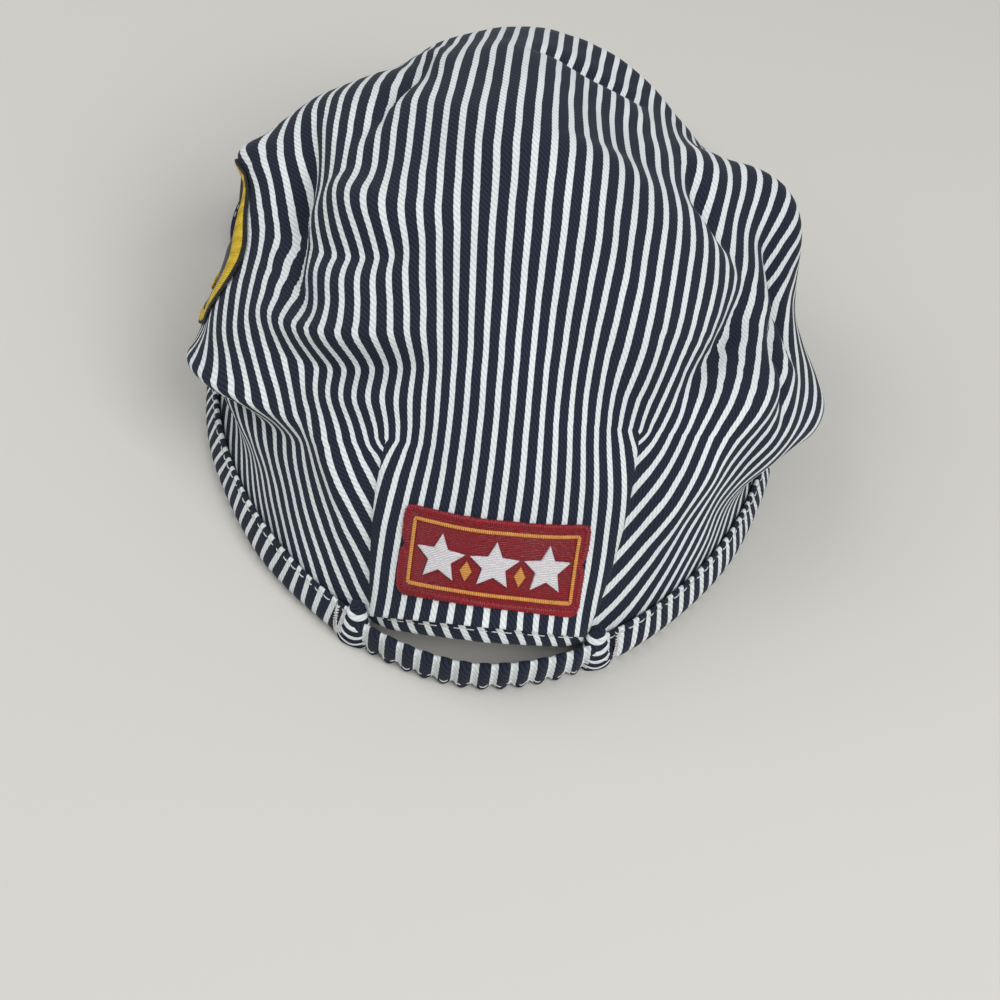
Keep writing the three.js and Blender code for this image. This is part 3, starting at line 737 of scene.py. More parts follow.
# Spun polyester thread: pale, matt and slightly hairy, so that the stitches
# read as fine cream dashes on the navy.
def thread_material(name, colour):
    material, tree, thread = start_material(name, {"Roughness": 0.6, "Specular IOR Level": 0.3})
    where = add(tree, "ShaderNodeTexCoord")
    # Fibre grain of about 0.4 mm.
    grain = add(
        tree, "ShaderNodeTexNoise", {"Scale": 2600.0, "Detail": 2.0}, {"Vector": where.outputs["Object"]}
    )
    shade = add(tree, "ShaderNodeMapRange", {1: 0.3, 2: 0.7, 3: 0.72, 4: 1.05}, {0: grain.outputs["Fac"]})
    tinted = add(tree, "ShaderNodeHueSaturation", {"Color": linear(colour)}, {"Value": shade.outputs[0]})
    tree.links.new(tinted.outputs[0], thread.inputs["Base Color"])
    return material


band_start = back_angle(ARCH_HALF_WIDTH + SEAM_GAP / 2, SEAM_GAP)
rough_angles = np.linspace(band_start, 360 - band_start, 3000)
rough_reach = arc_lengths(rim_point(rough_angles, BAND_FACE, 0.0))
band_angles = np.interp(
    np.linspace(0, 1, int(rough_reach[-1] / BAND_STEP)), rough_reach / rough_reach[-1], rough_angles
)
band_along = arc_lengths(rim_point(band_angles, BAND_FACE, 0.0))
# Section of the folded hem: offset from the rim and height.
BAND_SECTION = np.array([
    (0.35, 0.9), (0.3, 3.0), (0.3, 5.5), (0.3, 8.0), (0.35, 10.2), (0.6, 10.8), (1.0, 11.0),
    (1.4, 10.9), (1.7, 10.5), (1.72, 10.1), (1.8, 9.7), (2.05, 9.3), (2.25, 8.6), (2.4, 7.6),
    (2.5, 6.2), (2.52, 4.8), (2.52, 3.4), (2.45, 2.1), (2.25, 1.1), (1.9, 0.4),
    (1.4, 0.05), (0.9, 0.15),
])
stitch_phase = 2 * math.pi * band_along / (STITCH_LENGTH + STITCH_GAP)
sway_low = wavering(band_along, 14.0, (0.0, 5.0))
sway_out = wavering(band_along, 22.0, (4.0, 1.0))
# The stitches pull the upper edge in and down; the cloth swells between them.
offsets = np.tile(BAND_SECTION[:, 0], (len(band_along), 1))
heights = np.tile(BAND_SECTION[:, 1], (len(band_along), 1))
outer_face = np.clip((offsets - 1.0) / 1.2, 0, 1)
near_stitch = np.exp(-(((heights - BAND_STITCH_HEIGHT) / 1.3) ** 2))
offsets += outer_face * near_stitch * 0.12 * np.cos(stitch_phase)[:, None]
# The fold stands full behind and at the sides, and lies flat along the peak.
full = eased((np.abs(wrapped(band_angles)) - 92) / 18)
offsets += outer_face * (full * 1.4)[:, None] * np.exp(-(((heights - 4.0) / 3.4) ** 2))
offsets += outer_face * (full * 0.45 * sway_out)[:, None]
stripe_swell = np.cos(2 * math.pi * band_along / STRIPE_PITCH)
offsets += outer_face * 0.10 * stripe_swell[:, None]
lower_edge = np.clip(1 - heights / 3.0, 0, 1)
heights += lower_edge * (0.25 + 0.35 * sway_low + 0.15 * stripe_swell)[:, None]
heights += np.clip((heights - 9.5) / 1.5, 0, 1) * 0.12 * np.cos(stitch_phase)[:, None]
band_sections = rim_point(band_angles[:, None], offsets, heights)
band_uvs = ring_uvs(band_sections, band_along)
# The topstitching drags the stripes out of true.
drag = (heights - 5.5) * (0.14 + 0.45 * sway_low + 0.25 * sway_out)[:, None]
band_uvs[..., 0] += np.concatenate([drag, drag[:, :1]], 1)
band = lofted("band_cloth", band_sections, band_uvs)
band.data.materials.append(twill_material("navy and white striped cotton twill folded in a hem"))
stitch_line = rim_point(band_angles, 1.8 + 0.1 * sway_out, BAND_STITCH_HEIGHT)
band_thread = stitches("band_topstitch", stitch_line, rim_outward(band_angles))
cream_thread = thread_material("cream spun sewing thread", "#dcdcd6")
band_thread.data.materials.append(cream_thread)
for piece in (band, band_thread):
    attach(piece, "root")
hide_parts("band")

# Elastic strap
# A narrow tunnel of the twill gathered over flat elastic, which draws the cap
# to the head: one rib to each stripe, scalloped edges, and a bunched loop of
# the facing sewn down by bar tacks at each end.
RIBS = 14
SCALLOP = 1.4
strap_half = back_angle(ARCH_HALF_WIDTH - SEAM_GAP / 2, SEAM_GAP)
t = np.linspace(-1, 1, RIBS * 16 + 1)
strap_angles = t * strap_half
strap_along = arc_lengths(rim_point(strap_angles, 2.0, 0.0))
strap_length = strap_along[-1]
strap_along = strap_along - strap_length / 2
rib_pitch = strap_length / RIBS
# Ribs wander a little from stripe to stripe.
wander = wavering(strap_along, 9.0, (0.0, 2.0))
rib_phase = 2 * math.pi * (strap_along / rib_pitch + 0.12 * wander)
swell = (0.5 - 0.5 * np.cos(rib_phase)) ** 0.7
STRAP_SECTION = np.array([
    (0.5, 1.3), (0.45, 3.0), (0.4, 5.0), (0.45, 7.0), (0.5, 8.7), (0.75, 9.5), (1.2, 9.9),
    (1.7, 9.8), (2.1, 9.4), (2.4, 8.6), (2.55, 7.4), (2.6, 6.0), (2.6, 4.8), (2.5, 3.6),
    (2.35, 2.8), (2.15, 2.2), (2.25, 1.6), (2.2, 1.0), (1.9, 0.5), (1.4, 0.25), (0.9, 0.5),
])
strap_offsets = np.tile(STRAP_SECTION[:, 0], (len(t), 1))
strap_heights = np.tile(STRAP_SECTION[:, 1], (len(t), 1))
outer_face = np.clip((strap_offsets - 0.6) / 1.4, 0, 1)
strap_offsets += outer_face * (1.15 * swell - 0.5)[:, None]
# Between the ribs both edges draw in, which scallops them.
edges = np.clip(1 - strap_heights / 2.5, 0, 1) * (SCALLOP - SCALLOP * swell)[:, None]
edges -= np.clip((strap_heights - 8.0) / 2.0, 0, 1) * (0.9 - 0.9 * swell)[:, None]
strap_heights += edges
strap_sections = rim_point(strap_angles[:, None], strap_offsets, strap_heights)
strap_uvs = ring_uvs(strap_sections, strap_along * STRIPE_PITCH / rib_pitch)
# Half a pitch along, so that the white stripes lie in the troughs.
strap_uvs[..., 0] += 0.5 * STRIPE_PITCH
strap = lofted("strap_cloth", strap_sections, strap_uvs)
strap.data.materials.append(twill_material("navy and white striped cotton twill gathered on elastic"))
strap_line = rim_point(strap_angles, 1.75 + 1.1 * swell, 2.2 + 0.5 * (SCALLOP - SCALLOP * swell))
strap_thread = stitches("strap_topstitch", strap_line, rim_outward(strap_angles), 2.9, 0.9, 0.3)
strap_thread.data.materials.append(cream_thread)


# The bunched loops: top and drop, the length of cloth in one, its folds, and
# how far it keeps off the floor.
LOOP_TOP = 13.2
LOOP_DROP = 12.5
LOOP_CLOTH = 15.0
LOOP_FOLDS = 5
LOOP_SAG = 1.9
FLOOR_CLEARANCE = 0.1


def bunched_end(side):
    """The loop of cloth at one end of the strap, its stripes lying across it."""
    angle = side * back_angle(ARCH_HALF_WIDTH + SEAM_GAP, 1.0)
    out = unit(rim_outward(angle))
    across = unit(np.cross(UPWARD, out)) * -side
    rows = []
    shares = np.linspace(0, 1, 81)
    for share in shares:
        height = LOOP_TOP - LOOP_DROP * share
        bow = math.sin(math.pi * share)
        # Gathered in folds, one to each stripe.
        ridge = 0.3 * math.cos(2 * math.pi * share * LOOP_FOLDS + 0.6)
        half_width = 1.5 + 2.5 * math.sin(0.5 * math.pi * share ** 0.7) + ridge * 0.5
        depth = 0.8 + 1.4 * bow ** 0.7 + ridge
        centre = rim_point(angle, 2.3 - 2.6 * (1 - share) ** 3, 0.0) + UPWARD * height
        centre = centre - across * (1.2 + 1.2 * bow * (1 - share))
        ring = []
        for turn in np.linspace(0, 2 * math.pi, 24, endpoint=False):
            c, s = math.cos(turn), math.sin(turn)
            # The cloth sags between its two sides, so the stripes curve like a smile.
            sag = -LOOP_SAG * (1 - c * c) * (0.35 + 0.65 * share)
            ring.append(centre + across * (c * half_width) + out * (s * depth) + UPWARD * sag)
        rows.append(ring)
    rows = np.array(rows)
    rows[..., 2] = np.maximum(rows[..., 2], FLOOR_CLEARANCE)
    uvs = ring_uvs(rows, shares * LOOP_CLOTH)
    return lofted("strap_end", rows, uvs * [1.35, 1.0] + [1.8, 0.0])


strap_ends = [bunched_end(side) for side in (1, -1)]
end_cloth = twill_material("navy and white striped cotton twill bunched in a loop", 0.3)
for piece in strap_ends:
    piece.data.materials.append(end_cloth)


TACK_TURNS = 27
TACK_SWING = 0.55


def bar_tack(side):
    """A dense zigzag of pale thread down the outer side of the loop."""
    angle = side * back_angle(ARCH_HALF_WIDTH + 2.9, 1.0)
    heights = np.linspace(12.5, 1.2, TACK_TURNS)
    # Millimetres to degrees, at 95 mm from the rim's middle.
    swing = TACK_SWING * np.where(np.arange(TACK_TURNS) % 2 == 0, 1, -1) / 95 * 57.3
    bulge = 1.3 * np.sin(np.linspace(0, math.pi, TACK_TURNS)) ** 0.6
    line = rim_point(angle + swing, 2.7 + bulge, heights)
    out = np.tile(unit(rim_outward(angle)), (TACK_TURNS, 1))
    return stitches("bar_tack", line, out, 1.25, 0.04, 0.36)


tacks = [bar_tack(side) for side in (1, -1)]
for piece in tacks:
    piece.data.materials.append(cream_thread)
for piece in (strap, strap_thread, *strap_ends, *tacks):
    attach(piece, "root")
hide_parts("elastic_strap")

# Back facing
# A strip of the twill cut on the slant, folded under the arched edge of the
# panel and stitched just below the seam.
FACING_HALF_WIDTH = 29.5
FACING_STEPS = 121
FACING_LEAN = math.radians(28)
facing_half = back_angle(FACING_HALF_WIDTH, 0.0)
facing_angles = np.linspace(-facing_half, facing_half, FACING_STEPS)
edge = crown_surface(facing_angles, np.zeros(FACING_STEPS))
above = crown_surface(facing_angles, np.full(FACING_STEPS, 0.03))
out = crown_normal(facing_angles, np.full(FACING_STEPS, 0.01))
down = unit(0.35 * unit(edge - above) - 0.65 * UPWARD)
facing_along = arc_lengths(edge) - arc_lengths(edge)[-1] / 2
taper = 1 - np.clip((np.abs(facing_along) - 22) / 9, 0, 1) ** 2 * 0.35
waves = wavering(facing_along, 6.0, (2.0, 8.0))
# Section: depth behind the crown's outside, and drop below its edge.
FACING_SECTION = np.array([
    (2.0, -2.4), (1.75, -0.6), (1.6, 0.2), (1.42, 0.8), (1.5, 1.2), (1.38, 1.7), (1.35, 2.6),
    (1.42, 3.6), (1.6, 4.3), (2.0, 4.65), (2.4, 4.5), (2.75, 3.9), (2.85, 2.6), (2.85, 1.2),
    (2.85, -0.6), (2.7, -2.2),
])
facing_sections = np.empty((FACING_STEPS, len(FACING_SECTION), 3))
facing_uvs = np.empty((FACING_STEPS, len(FACING_SECTION) + 1, 2))
section_run = arc_lengths(np.concatenate([FACING_SECTION, FACING_SECTION[:1]]))
for k, (deep, drop) in enumerate(FACING_SECTION):
    lower = max(drop, 0.0)
    facing_sections[:, k] = (
        edge
        - out * (deep + 0.2 * waves * lower / 4)[:, None]
        + down * (lower * taper + 0.25 * waves * lower / 4)[:, None]
        + unit(above - edge) * max(-drop, 0.0)
    )
for k, run in enumerate(section_run):
    facing_uvs[:, k, 0] = facing_along * math.cos(FACING_LEAN) + run * math.sin(FACING_LEAN)
    facing_uvs[:, k, 1] = -facing_along * math.sin(FACING_LEAN) + run * math.cos(FACING_LEAN)
facing = lofted("facing_cloth", facing_sections, facing_uvs)
facing.data.materials.append(twill_material("navy and white striped cotton twill cut on the slant", 0.2))
facing_thread = stitches("facing_topstitch", facing_sections[:, 4], out, 2.4, 0.7, 0.3)
facing_thread.data.materials.append(cream_thread)
for piece in (facing, facing_thread):
    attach(piece, "root")
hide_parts("back_facing")

# Peak
# A stiff plastic plate between two layers of the twill, turned in round the
# edge and held by six rows of topstitching that follow it.
PEAK_HALF_WIDTH = 86.0
PEAK_WIDEST_Y = -58.0
PEAK_LENGTH = 102.0
PEAK_THICKNESS = 3.0
PEAK_ROOT_ANGLE = 62.0
PEAK_ROOT_Z = 2.2
PEAK_SWEEP = 100.0
PEAK_CORNER_Z = 1.7
PEAK_ARCH = 9.5
PEAK_BULGE = 2.5
PEAK_CORNER_SHARE = 0.16
PEAK_CORNER_STUB = 0.14
PEAK_COLUMNS = 180
PEAK_ROWS = 64
PEAK_STITCH_ROWS = (0.16, 0.33, 0.5, 0.67, 0.84, 0.955)
PEAK_STITCH_SPAN = 0.86
PEAK_STITCH_POINTS = 400


def peak_middle(t, s):
    """Middle of the plate: t runs from corner to corner, s from root to edge."""
    inner = rim_point(180 - PEAK_ROOT_ANGLE * t, SEAM_GAP * 2 + BAND_THICKNESS, PEAK_ROOT_Z)
    turn = np.radians(PEAK_SWEEP * t)
    arch = np.cos(np.pi / 2 * t) ** 2
    outer = np.stack([
        PEAK_HALF_WIDTH * np.sin(turn),
        PEAK_WIDEST_Y - PEAK_LENGTH * np.cos(turn),
        PEAK_CORNER_Z + PEAK_ARCH * arch,
    ], -1)
    past = np.clip((np.abs(t) - 1 + PEAK_CORNER_SHARE) / PEAK_CORNER_SHARE, 0, 1)
    reach = s * np.maximum(PEAK_CORNER_STUB, np.sqrt(1 - past * past))
    points = inner + (outer - inner) * reach[..., None]
    points[..., 2] += PEAK_BULGE * np.sin(np.pi * s) * arch
    return points


def peak_face(t, s, side):
    """One face of the peak; its edge is rounded and its stitch rows are sunk."""
    edge_round = np.sqrt(np.clip(1 - np.clip((s - 0.965) / 0.035, 0, 1) ** 2, 0.02, 1))
    groove = sum(np.exp(-(((s - row) / 0.013) ** 2)) for row in PEAK_STITCH_ROWS)
    rise = PEAK_THICKNESS / 2 * edge_round - 0.22 * np.clip(groove, 0, 1)
    points = peak_middle(t, s)
    points[..., 2] += side * rise
    return points


t_line = np.sin(np.pi / 2 * np.linspace(-1, 1, PEAK_COLUMNS + 1))
s_line = np.linspace(0, 1, PEAK_ROWS + 1) ** 0.85
s_grid, t_grid = np.meshgrid(np.concatenate([s_line, s_line[::-1]]), t_line)
sides = np.concatenate([np.ones(PEAK_ROWS + 1), -np.ones(PEAK_ROWS + 1)])
peak_sections = peak_face(t_grid, s_grid, sides)
peak_uvs = np.concatenate([peak_sections, peak_sections[:, :1]], 1)[..., :2]
peak = lofted("peak_cloth", peak_sections, peak_uvs)
peak.data.materials.append(twill_material("navy and white striped cotton twill on a stiff plate", 0.1))
peak_threads = []
for row in PEAK_STITCH_ROWS:
    t_row = np.linspace(-PEAK_STITCH_SPAN, PEAK_STITCH_SPAN, PEAK_STITCH_POINTS)
    for side in (1, -1):
        line = peak_face(t_row, np.full(PEAK_STITCH_POINTS, row), side)
        lift = np.tile([0.0, 0.0, float(side)], (PEAK_STITCH_POINTS, 1))
        peak_threads.append(stitches("peak_topstitch", line, lift, 3.0, 0.8, 0.32))
peak_thread = joined("peak_topstitch", peak_threads)
peak_thread.data.materials.append(cream_thread)
for piece in (peak, peak_thread):
    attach(piece, "root")
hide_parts("peak")

# Back patch
# A red embroidered patch sewn on the panel over the arch: dense stitched
# ground, overlocked edge, a gold satin frame, and stars and lozenges in it.
PATCH_ANGLE = -1.2
PATCH_SHARE = 0.182
PATCH_WIDTH = 46.0
PATCH_HEIGHT = 21.5
PATCH_TILT = math.radians(2)
RIDGE_PITCH = 0.5
CORD_SIDES = 10


def cloth_place(angle, share, tilt, across, up, lift):
    """Points over a spot of the crown, millimetres across and up a tilted patch."""
    x = across * math.cos(tilt) - up * math.sin(tilt)
    y = across * math.sin(tilt) + up * math.cos(tilt)
    shares = np.linspace(0.0, 1.0, 401)
    lengths = arc_lengths(smooth_crown(np.full(401, angle), shares))
    new_share = np.interp(np.interp(share, shares, lengths) + y, lengths, shares)
    step = smooth_crown(angle + 1.0, new_share) - smooth_crown(angle - 1.0, new_share)
    new_angle = angle + x / (np.linalg.norm(step, axis=-1) / 2)
    return crown_surface(new_angle, new_share, lift)


def rounded_outline(width, height, corner, step):
    """Points round a rectangle with round corners, anticlockwise."""
    corners = [(1, 1, 0), (-1, 1, 90), (-1, -1, 180), (1, -1, 270)]
    line = []
    for sx, sy, first in corners:
        for turn in np.radians(first + np.linspace(0, 90, 8)):
            line.append((
                sx * (width / 2 - corner) + corner * math.cos(turn),
                sy * (height / 2 - corner) + corner * math.sin(turn),
            ))
    line = np.array(line + line[:1])
    reach = arc_lengths(line)
    where = np.linspace(0, reach[-1], max(8, round(reach[-1] / step)), endpoint=False)
    return at_lengths(where, reach, line)


def star_outline(x, y, radius, points, inner):
    """Points round a star; one of two points is a lozenge."""
    angles = math.pi / 2 + np.arange(points * 2) * math.pi / points
    radii = np.where(np.arange(points * 2) % 2 == 0, radius, radius * inner)
    corners = np.stack([x + radii * np.cos(angles), y + radii * np.sin(angles)], -1)
    closed = np.concatenate([corners, corners[:1]])
    reach = arc_lengths(closed)
    where = np.linspace(0, reach[-1], points * 16, endpoint=False)
    return at_lengths(where, reach, closed)


def mirrored(points, faces):
    """True where the faces of a closed skin look inward."""
    p = points - points.mean(0)
    return sum(p[f[0]] @ np.cross(p[f[1]], p[f[2]]) for f in faces) < 0


def padded(name, place, outline, base, rise):
    """A stitched pad on the cloth: its rim drops to the base, its top is domed."""
    centre = outline.mean(0)
    size = np.abs(outline - centre).max()
    inset = min(0.5, 0.35 / size)
    inner = np.linspace(1 - inset, 0.0, max(4, round(size / 1.2)) + 1)[1:-1]
    steps = ((1.0, 0.0), (1.0, 0.5), (1 - inset * 0.4, 0.85), (1 - inset, 1.0),
             *[(scale, 1.14 - 0.14 * scale) for scale in inner])
    flats = [centre + (outline - centre) * scale for scale, level in steps]
    rings = [place(*flat.T, base + rise * level) for flat, (scale, level) in zip(flats, steps)]
    count = len(outline)
    points = np.concatenate(rings + [place(*centre[:, None], base + rise * 1.14)])
    plane = np.concatenate(flats + [centre[None]])
    faces = tube_faces(len(rings), count)
    last = (len(rings) - 1) * count
    for k in range(count):
        faces.append((last + k, last + (k + 1) % count, len(points) - 1))
    faces.append(tuple(range(count - 1, -1, -1)))
    faces = [f[::-1] for f in faces] if mirrored(points, faces) else faces
    return new_mesh(name, points, faces, [plane[v] for f in faces for v in f])


def cord_on(name, place, outline, width, height, base, ridge, closed=True):
    """A raised cord of stitches along an outline, ridged by its threads."""
    line = np.concatenate([outline, outline[:1]]) if closed else outline
    reach = arc_lengths(line)
    count = round(reach[-1] / RIDGE_PITCH * 4)
    where = np.linspace(0, reach[-1], count, endpoint=not closed)
    middle = at_lengths(where, reach, line)
    if closed:
        along = unit(np.roll(middle, -1, 0) - np.roll(middle, 1, 0))
    else:
        along = unit(np.gradient(middle, axis=0))
    side = np.stack([along[:, 1], -along[:, 0]], -1)
    swelling = 1 + ridge * np.cos(2 * math.pi * where / RIDGE_PITCH)
    rings = []
    for turn in np.linspace(0, 2 * math.pi, CORD_SIDES, endpoint=False):
        offset = side * (width / 2 * math.cos(turn) * swelling)[:, None]
        up = base + height * 0.5 * (1 + math.sin(turn)) * swelling
        rings.append(place(*(middle + offset).T, up))
    sections = np.stack(rings, 1)
    girth = np.linspace(0, width * 2.4, CORD_SIDES + 1)
    uvs = np.stack(np.broadcast_arrays(girth[None, :], where[:, None]), -1)
    if not closed:
        return lofted(name, sections, uvs)
    faces = []
    corners = []
    for s in range(count):
        m = (s + 1) % count
        for k in range(CORD_SIDES):
            n = (k + 1) % CORD_SIDES
            faces.append((s * CORD_SIDES + k, m * CORD_SIDES + k, m * CORD_SIDES + n, s * CORD_SIDES + n))
            corners += [uvs[s, k], uvs[s, k] + [0, 0.1], uvs[s, k + 1] + [0, 0.1], uvs[s, k + 1]]
    return new_mesh(name, sections.reshape(-1, 3), faces, corners)


def in_thread(piece, thread):
    piece.data.materials.append(thread)
    return piece


# Rayon embroidery thread laid side by side: a soft gloss that runs across the
# threads, and fine dark lines between them, painted shade from the darker copy
# given as shade. v runs across the threads.
def embroidery_material(name, colour, shade, pitch=0.42, ground=False):
    material, tree, thread = start_material(name, {
        "Roughness": 0.42,
        "Specular IOR Level": 0.4,
        "Sheen Weight": 0.04,
    })
    where = add(tree, "ShaderNodeUVMap", uv_map="cloth_mm")
    axes = add(tree, "ShaderNodeSeparateXYZ", links={0: where.outputs[0]})
    jitter = add(tree, "ShaderNodeTexNoise", {"Scale": 0.8, "Detail": 2.0}, {"Vector": where.outputs[0]})
    bent = add(
        tree, "ShaderNodeMath", {1: 0.5}, {0: jitter.outputs["Fac"], 2: axes.outputs[1]},
        operation="MULTIPLY_ADD",
    )
    count = add(tree, "ShaderNodeMath", {1: pitch / 2}, {0: bent.outputs[0]}, operation="DIVIDE")
    ridge = add(tree, "ShaderNodeMath", {1: 1.0}, {0: count.outputs[0]}, operation="PINGPONG")
    # Stitch ends: the rows are broken every 3.2 mm, out of step. On the ground
    # they sink and take painted shade.
    row = add(tree, "ShaderNodeMath", {1: pitch}, {0: bent.outputs[0]}, operation="DIVIDE")
    whole = add(tree, "ShaderNodeMath", links={0: row.outputs[0]}, operation="FLOOR")
    offset = add(tree, "ShaderNodeMath", {1: 0.37}, {0: whole.outputs[0]}, operation="MULTIPLY")
    along = add(
        tree, "ShaderNodeMath", {1: 1 / 3.2}, {0: axes.outputs[0], 2: offset.outputs[0]},
        operation="MULTIPLY_ADD",
    )
    part = add(tree, "ShaderNodeMath", links={0: along.outputs[0]}, operation="FRACT")
    end = add(tree, "ShaderNodeMath", {1: 0.5}, {0: part.outputs[0]}, operation="SUBTRACT")
    end_off = add(tree, "ShaderNodeMath", links={0: end.outputs[0]}, operation="ABSOLUTE")
    hole = add(
        tree, "ShaderNodeMapRange", {1: 0.44, 2: 0.5, 3: 1.0, 4: 0.25 if ground else 1.0},
        {0: end_off.outputs[0]},
    )
    relief = add(
        tree, "ShaderNodeMath", links={0: ridge.outputs[0], 1: hole.outputs[0]}, operation="MULTIPLY"
    )
    # The colour falls from the thread's own colour to its darker copy in the grooves and sunk stitch ends:
    # painted shade.
    colours = add(
        tree, "ShaderNodeMix", {"A": linear(shade), "B": linear(colour)},
        {"Factor": relief.outputs[0]}, data_type="RGBA",
    )
    fuzz = add(tree, "ShaderNodeTexNoise", {"Scale": 4.0, "Detail": 3.0}, {"Vector": where.outputs[0]})
    level = add(tree, "ShaderNodeMapRange", {1: 0.3, 2: 0.7, 3: 0.82, 4: 1.12}, {0: fuzz.outputs["Fac"]})
    tinted = add(
        tree,
        "ShaderNodeHueSaturation",
        links={"Value": level.outputs[0], "Color": colours.outputs["Result"]},
    )
    tree.links.new(tinted.outputs[0], thread.inputs["Base Color"])
    bump = add(tree, "ShaderNodeBump", {"Strength": 0.8, "Distance": 0.00018}, {"Height": relief.outputs[0]})
    tree.links.new(bump.outputs[0], thread.inputs["Normal"])
    return material


def on_patch(across, up, lift):
    return cloth_place(PATCH_ANGLE, PATCH_SHARE, PATCH_TILT, across, up, lift)


# Each thread: its own colour, then a darker copy for the painted shade in its grooves.
red_ground = embroidery_material("red rayon stitched ground", "#9e0d20", "#56060f", ground=True)
red_edge = embroidery_material("red rayon overlocked edge", "#a40f22", "#5c0712", pitch=0.5)
gold_satin = embroidery_material("gold rayon satin stitch", "#f0ab55", "#a8682a", pitch=0.45)
white_satin = embroidery_material("white rayon satin stitch", "#f6f4f5", "#bdb7be", pitch=0.4)


def patch_outline(inset):
    """The patch's outline: a small bite in each short side, and uneven stitch ends."""
    line = rounded_outline(PATCH_WIDTH - inset, PATCH_HEIGHT - inset, 1.6, 0.35)
    bite = 1.0 * np.exp(-(((line[:, 1] - 0.6) / 1.5) ** 2)) * (np.abs(line[:, 0]) > 18)
    line[:, 0] -= np.sign(line[:, 0]) * bite
    for point in line:
        point += 0.16 * noise.noise(Vector((point[0] * 1.7, point[1] * 1.7, 3.0)))
    return line


patch = in_thread(padded("patch_ground", on_patch, patch_outline(1.6), 0.15, 0.75), red_ground)
patch_edge = in_thread(cord_on("patch_edge", on_patch, patch_outline(1.7), 1.7, 1.0, 0.05, 0.12), red_edge)
gold_outline = rounded_outline(PATCH_WIDTH - 6.4, PATCH_HEIGHT - 6.0, 0.5, 0.4)
patch_frame = in_thread(cord_on("patch_frame", on_patch, gold_outline, 0.95, 0.55, 0.8, 0.08), gold_satin)
patch_motifs = []
for x in (-12.6, 0.0, 12.6):
    star = padded("patch_star", on_patch, star_outline(x, -0.5, 6.1, 5, 0.47), 0.8, 0.8)
    patch_motifs.append(in_thread(star, white_satin))
for x in (-6.3, 6.3):
    lozenge = padded("patch_lozenge", on_patch, star_outline(x, -2.6, 2.6, 2, 0.55), 0.8, 0.6)
    patch_motifs.append(in_thread(lozenge, gold_satin))
patch = joined("patch_embroidery", [patch, patch_edge, patch_frame, *patch_motifs])
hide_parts("back_patch")
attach(patch, "root")

# Side badge
# An oval embroidered on the wearer's left: a yellow satin ring edged in black,
# a navy ground, and a plain spoked wheel.
BADGE_ANGLE = 96.0
BADGE_SHARE = 0.49
BADGE_WIDTH = 58.0
BADGE_HEIGHT = 37.0
BADGE_TILT = math.radians(-12)


def on_badge(across, up, lift):
    return cloth_place(BADGE_ANGLE, BADGE_SHARE, BADGE_TILT, across, up, lift)


def oval(width, height, count=120):
    turns = np.linspace(0, 2 * math.pi, count, endpoint=False)
    return np.stack([width / 2 * np.cos(turns), height / 2 * np.sin(turns)], -1)


# Each thread: its own colour, then a darker copy for the painted shade in its grooves.
navy_ground = embroidery_material("navy rayon stitched ground", "#20283c", "#0f1422", ground=True)
black_satin = embroidery_material("black rayon satin stitch", "#16171a", "#08090b", pitch=0.4)
yellow_satin = embroidery_material("yellow rayon satin stitch", "#f2d22e", "#a98a14", pitch=0.45)
badge_outline = oval(BADGE_WIDTH - 2, BADGE_HEIGHT - 2)
badge = in_thread(padded("badge_ground", on_badge, badge_outline, 0.15, 0.55), navy_ground)
badge_parts = []
# Rings from the edge inward: how much smaller than the badge, width and height.
BADGE_RINGS = (
    (1.4, 1.3, 0.9, black_satin),
    (5.0, 3.4, 1.2, yellow_satin),
    (8.6, 1.0, 0.8, black_satin),
)
for shrink, width, height, material in BADGE_RINGS:
    outline = oval(BADGE_WIDTH - shrink, BADGE_HEIGHT - shrink)
    ring = cord_on("badge_ring", on_badge, outline, width, height, 0.2, 0.05)
    badge_parts.append(in_thread(ring, material))
# The wheel sits low in the oval, clear of the fold that crosses its top.
WHEEL_MIDDLE = np.array([-1.0, -3.6])
WHEEL_ACROSS = 15.6
SPOKES = 8
wheel = oval(WHEEL_ACROSS, WHEEL_ACROSS) + WHEEL_MIDDLE
badge_parts.append(in_thread(cord_on("badge_wheel", on_badge, wheel, 1.8, 1.0, 0.7, 0.05), yellow_satin))
for k in range(SPOKES):
    turn = k * math.pi / 4 + math.pi / 8
    spoke = np.outer(np.linspace(2.0, 6.9, 20), (math.cos(turn), math.sin(turn))) + WHEEL_MIDDLE
    piece = cord_on("badge_spoke", on_badge, spoke, 1.3, 0.8, 0.7, 0.05, closed=False)
    badge_parts.append(in_thread(piece, yellow_satin))
hub = padded("badge_hub", on_badge, oval(4.8, 4.8, 40) + WHEEL_MIDDLE, 0.6, 0.8)
badge_parts.append(in_thread(hub, yellow_satin))
badge = joined("badge_embroidery", [badge, *badge_parts])
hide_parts("side_badge")
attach(badge, "root")

# Floor, light and camera
# A plain pale floor and soft light from above, with the camera behind and
# above the cap, turned a little, as the photograph was taken.
floor_mesh = bpy.data.meshes.new("floor")
floor_mesh.from_pydata([(-4, -4, 0), (4, -4, 0), (4, 4, 0), (-4, 4, 0)], [], [(0, 1, 2, 3)])
floor = bpy.data.objects.new("floor", floor_mesh)
bpy.context.scene.collection.objects.link(floor)
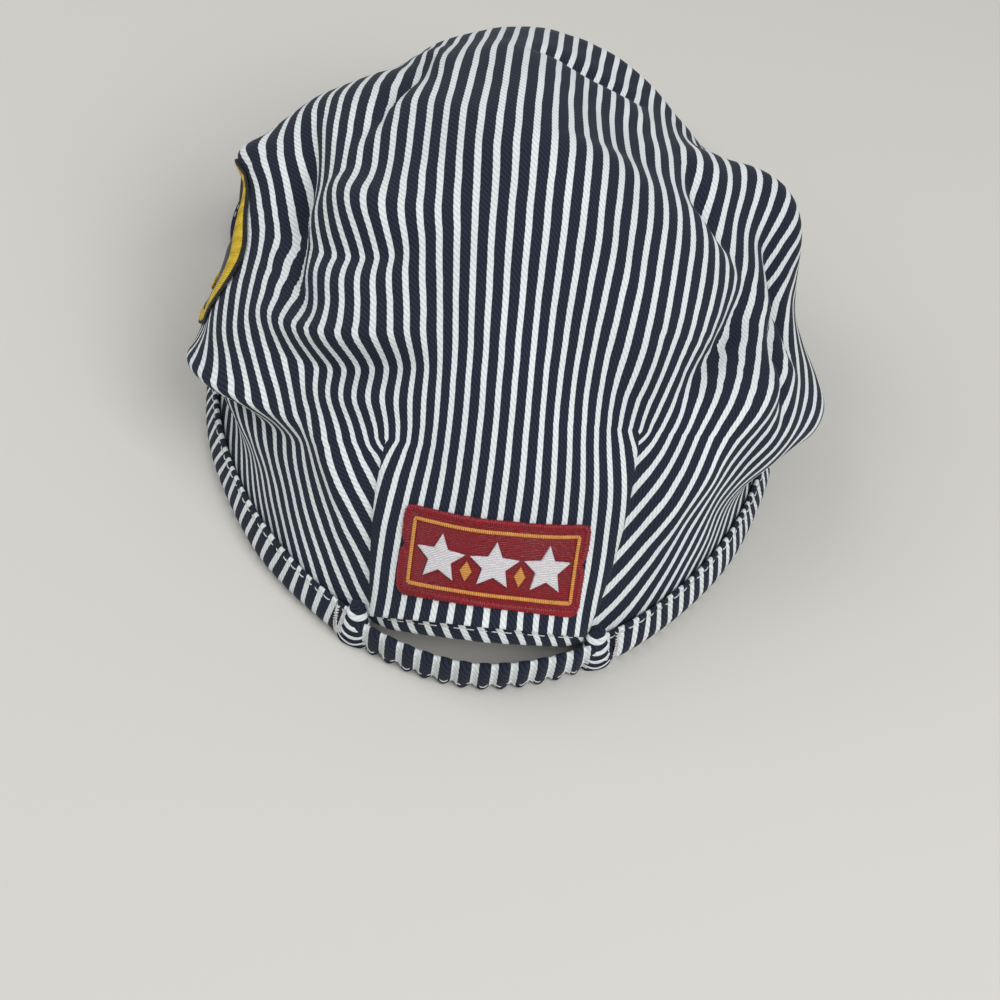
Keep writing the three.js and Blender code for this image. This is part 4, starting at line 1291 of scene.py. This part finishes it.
# Board painted in a warm pale grey and left matt, so that it takes soft shadows.
painted_board = start_material("matt painted board", {"Base Color": linear("#d2d0ca"), "Roughness": 0.8})[0]
floor.data.materials.append(painted_board)

world = bpy.data.worlds.new("soft room light")
world.use_nodes = True
room = world.node_tree.nodes["Background"]
room.inputs["Color"].default_value = linear("#f2f3f5")
room.inputs["Strength"].default_value = 0.5
bpy.context.scene.world = world


def soft_light(name, place, aim, size, power):
    lamp = bpy.data.lights.new(name, "AREA")
    lamp.size = size
    lamp.energy = power
    holder = bpy.data.objects.new(name, lamp)
    holder.location = place
    holder.rotation_euler = (Vector(aim) - Vector(place)).to_track_quat("-Z", "Y").to_euler()
    bpy.context.scene.collection.objects.link(holder)


soft_light("window", (-0.55, 0.75, 0.95), (0.0, 0.02, 0.05), 0.7, 9.5)
soft_light("fill", (0.8, -0.1, 0.9), (0.0, 0.0, 0.05), 0.9, 4.5)

CAMERA_FOCAL = 1.6
CAMERA_RISE = math.radians(48)
CAMERA_TURN = math.radians(3.5)
CAMERA_ROLL = math.radians(8.5)
CAMERA_DISTANCE = 462.0
CAMERA_ASIDE = (2.2, -28.5)
towards = np.array([
    math.sin(CAMERA_TURN) * math.cos(CAMERA_RISE),
    math.cos(CAMERA_TURN) * math.cos(CAMERA_RISE),
    math.sin(CAMERA_RISE),
])
level_right = unit(np.cross(-towards, UPWARD))
level_up = np.cross(level_right, -towards)
camera_right = math.cos(CAMERA_ROLL) * level_right + math.sin(CAMERA_ROLL) * level_up
camera_up = -math.sin(CAMERA_ROLL) * level_right + math.cos(CAMERA_ROLL) * level_up
camera_place = cap_frame(
    CAMERA_ASIDE[0] * camera_right + CAMERA_ASIDE[1] * camera_up + CAMERA_DISTANCE * towards
)
lens = bpy.data.cameras.new("camera")
lens.sensor_width = 36
lens.lens = 36 * CAMERA_FOCAL
camera = bpy.data.objects.new("camera", lens)
camera.matrix_world = Matrix([
    (*[axis[k] for axis in (camera_right, camera_up, towards)], camera_place[k]) for k in range(3)
] + [(0, 0, 0, 1)])
bpy.context.scene.collection.objects.link(camera)
bpy.context.scene.camera = camera
bpy.context.scene.view_settings.view_transform = "Standard"
